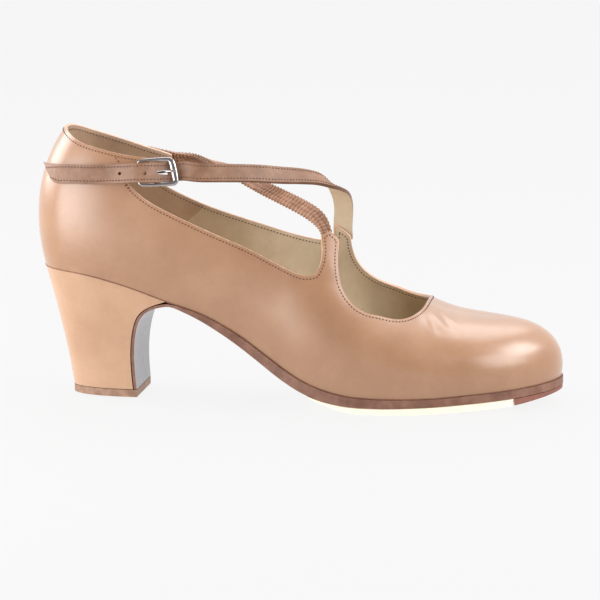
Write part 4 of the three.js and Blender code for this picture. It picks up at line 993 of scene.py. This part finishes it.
def measure_strap(piece, near, facing):
    """Stores how far along and across the strap each point lies, and returns its rows."""
    mesh = piece.data
    near, facing = Vector(near), Vector(facing).normalized()
    faces = [f for f in mesh.polygons if f.normal.dot(facing) > 0.7]
    tip = min(faces, key=lambda f: (f.center - near).length).center
    row = {i for f in faces if (f.center - tip).length < FIRST_ROW for i in f.vertices}
    beside = [[] for _ in mesh.vertices]
    for edge in mesh.edges:
        a, b = edge.vertices
        beside[a].append(b)
        beside[b].append(a)
    for name in ("run", "across"):
        mesh.attributes.new(name, "FLOAT", "POINT")
    run_of, across_of = mesh.attributes["run"], mesh.attributes["across"]
    seen, rows, run = set(row), [], 0.0
    while row:
        points = [mesh.vertices[i].co for i in row]
        centre = sum(points, Vector()) / len(points)
        wide = max((a - b for a in points for b in points), key=lambda v: v.length).normalized()
        if rows:
            run += (centre - rows[-1][1]).length
            if wide.dot(rows[-1][2]) < 0:
                wide = -wide
        for i in row:
            run_of.data[i].value = run
            across_of.data[i].value = (mesh.vertices[i].co - centre).dot(wide)
        rows.append((run, centre, wide))
        row = {n for i in row for n in beside[i]} - seen
        seen |= row
    unseen = len(mesh.vertices) - len(seen)
    print(piece.name, "rows", len(rows), "length mm", round(run / MM, 1), "unseen", unseen)
    return rows


def along_strap(rows, across):
    """A line that runs along a strap at a distance from its middle."""
    return [centre + wide * across for _, centre, wide in rows]


# %% [markdown]
# ## The long strap
#
# It is two leathers, brown outside and cream inside, glued and sewn back to back, with painted
# edges. It comes from the inner tab over the instep and through the buckle. Two strips of mesh
# would show a slit between them, so it stays one band with a finish for each side and the edge.

# %% Long strap
BROWN, CREAM, PAINTED = range(3)
strap = copy_node("instep_strap", "long_strap")
for finish in (strap_leather, cream_leather, edge_leather):
    strap.data.materials.append(finish)
mark_edges(strap, 50)
strap.data.polygons.foreach_set("material_index", [PAINTED] * len(strap.data.polygons))
low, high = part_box("instep_strap")
paint_panel(strap, BROWN, (-0.09, low.y, 0.1), (0, -1, 0))
paint_panel(strap, CREAM, (-0.09, low.y, 0.1), (0, 1, 0))
strap_rows = measure_strap(strap, (0.0185, 0.026, 0.068), (0, 0, -1))

# %% [markdown]
# ## The hole around the prong
#
# The prong goes through a punched hole, which leather closes round it. The solid's hole is wide,
# so its rim is moved towards the strap's middle line by half its distance, before the strap is
# rounded. Cutting it anew would leave a rough rim.

# %% Hole around the prong
RIM_SIDE, RIM_NEAR, RIM_CLOSE = 2 * MM, 5.5 * MM, 0.5
low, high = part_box("buckle_prong")
middle = (low + high) / 2
sides = strap.data.attributes["across"].data
for vertex in strap.data.vertices:
    side = sides[vertex.index].value
    if abs(side) < RIM_SIDE and (vertex.co - middle).length < RIM_NEAR:
        _, _, wide = min(strap_rows, key=lambda row: (row[1] - vertex.co).length)
        vertex.co -= wide * side * RIM_CLOSE
round_off(strap, 2)
print("strap points", len(strap.data.vertices))

# %% [markdown]
# ## Free holes of the long strap
#
# Next to the buckle there are more holes, for a wider or narrower foot. A dark dot in the colour
# would not show the strap's thickness. A round punch goes through the strap, as in the workshop,
# here as a cylinder and a Boolean, and leaves the painted edge's colour in the hole.

# %% Free holes
HOLE_RADIUS, PUNCH_DEPTH = 0.8 * MM, 5 * MM
HOLES = [(-65.2, -31.7, 105.4), (-76.9, -30.7, 104.9)]
outer_face = panel_tree(strap, BROWN)
for place in HOLES:
    spot, normal, _, _ = outer_face.find_nearest(Vector(place) * MM)
    bpy.ops.mesh.primitive_cylinder_add(
        vertices=20, radius=HOLE_RADIUS, depth=PUNCH_DEPTH, location=spot
    )
    punch = bpy.context.active_object
    punch.rotation_euler = normal.to_track_quat("Z", "Y").to_euler()
    punch.data.materials.append(edge_leather)
    only(strap)
    bpy.ops.object.modifier_add(type="BOOLEAN")
    cut = strap.modifiers[-1]
    cut.object = punch
    cut.solver = "EXACT"
    cut.material_mode = "TRANSFER"
    bpy.ops.object.modifier_apply(modifier=cut.name)
    bpy.data.objects.remove(punch, do_unlink=True)
finish_piece(strap, "strap_leather", "instep_strap")

# %% [markdown]
# ## Stitches of the long strap
#
# A row of stitches near each edge holds its two leathers together. The stored rows give both
# lines at once, 3.1 mm to each side of the middle, so they keep their distance from the edges.

# %% Strap stitches
ROW_AT = 3.1 * MM
strap_lines = [(along_strap(strap_rows, side * ROW_AT), False) for side in (1, -1)]
strap_stitches = sew("strap_stitches", strap_lines, panel_tree(strap, BROWN))
finish_piece(strap_stitches, "strap_leather")

# %% [markdown]
# ## The gathered strap
#
# This strap is a sleeve of soft leather over an elastic, sewn in two rows while the elastic is
# stretched. When it is let go, the leather puckers into crosswise ribs. Cloth could be simulated
# for it, at great cost. The ribs are so regular that a sine along the strap's stored length does
# it, with a slow waver so that no two are alike, and a groove along each row of stitches.

# %% Gathered strap
RIB = {
    "pitch": 1.75 * MM,
    "depth": 0.6 * MM,
    "channel": 0.45 * MM,
    "row": 1.1 * MM,
    "fade": 2.5 * MM,
}
gathered = copy_node("gathered_strap", "gathered_elastic_strap")
gathered.data.materials.append(gathered_leather)
mark_edges(gathered, 50)
low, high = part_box("gathered_strap")
measure_strap(gathered, (low.x, 0.02, 0.11), (-1, 0, 0))
round_off(gathered, 3)


def gather(piece):
    """Puckers a strap with crosswise ribs, held down along two rows by the elastic's stitches, and
    stores painted shade for the valleys and the rows.
    """
    mesh = piece.data
    mesh.attributes.new("valley_shade", "FLOAT", "POINT")
    runs, sides, valleys = (mesh.attributes[name].data for name in ("run", "across", "valley_shade"))
    length = max(item.value for item in runs)
    moves = []
    for vertex in mesh.vertices:
        run, side = runs[vertex.index].value, sides[vertex.index].value
        ends = min(1.0, run / RIB["fade"], (length - run) / RIB["fade"])
        waver = 0.9 * math.sin(side / (1.1 * MM))
        waver += 0.8 * math.sin(run / (5.3 * MM)) + 0.5 * math.sin(run / (2.1 * MM))
        rib = math.sin(2 * math.pi * run / RIB["pitch"] + waver)
        held = math.exp(-(((abs(side) - RIB["row"]) / RIB["channel"]) ** 2))
        height = RIB["depth"] * (0.5 * rib * (1 - 0.5 * held) - 0.4 * held)
        moves.append(vertex.normal * ends * height)
        # Painted shade: most in the valleys between ribs and along the stitch rows.
        shade_share = min(1.0, max(0.0, 0.1 - 0.6 * rib) + 0.55 * held)
        valleys[vertex.index].value = ends * shade_share
    for vertex, move in zip(mesh.vertices, moves):
        vertex.co += move


gather(gathered)
finish_piece(gathered, "gathered_leather", "gathered_strap")

# %% [markdown]
# ## The buckle
#
# A cast frame, a prong that turns on its base bar and a folded loop of leather that holds the bar
# to the ear. They could be curves with a round section, but the frame is flattened at the front.
# Their solids have that already, so a subdivision makes them smooth, and only edges as sharp as a
# cut end stay.

# %% Buckle
dress("buckle_frame", "buckle", nickel, "buckle_metal", 80)
dress("buckle_prong", "prong", nickel, "buckle_metal", 60)
dress("buckle_loop", "buckle_loop_leather", strap_leather, "strap_leather", 60)

# %% [markdown]
# ## Sizes
#
# The dressed shoe must be as large as the solids, whatever was rounded, pressed or raised. That
# could be judged by eye, but a box of each, written down and compared, shows tenths of a mm.

# %% Sizes and finish
shown_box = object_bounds()
growth = zip(shown_box[1] - shown_box[0], cad_box[1] - cad_box[0])
print("grown by mm:", [round((a - b) / MM, 2) for a, b in growth])
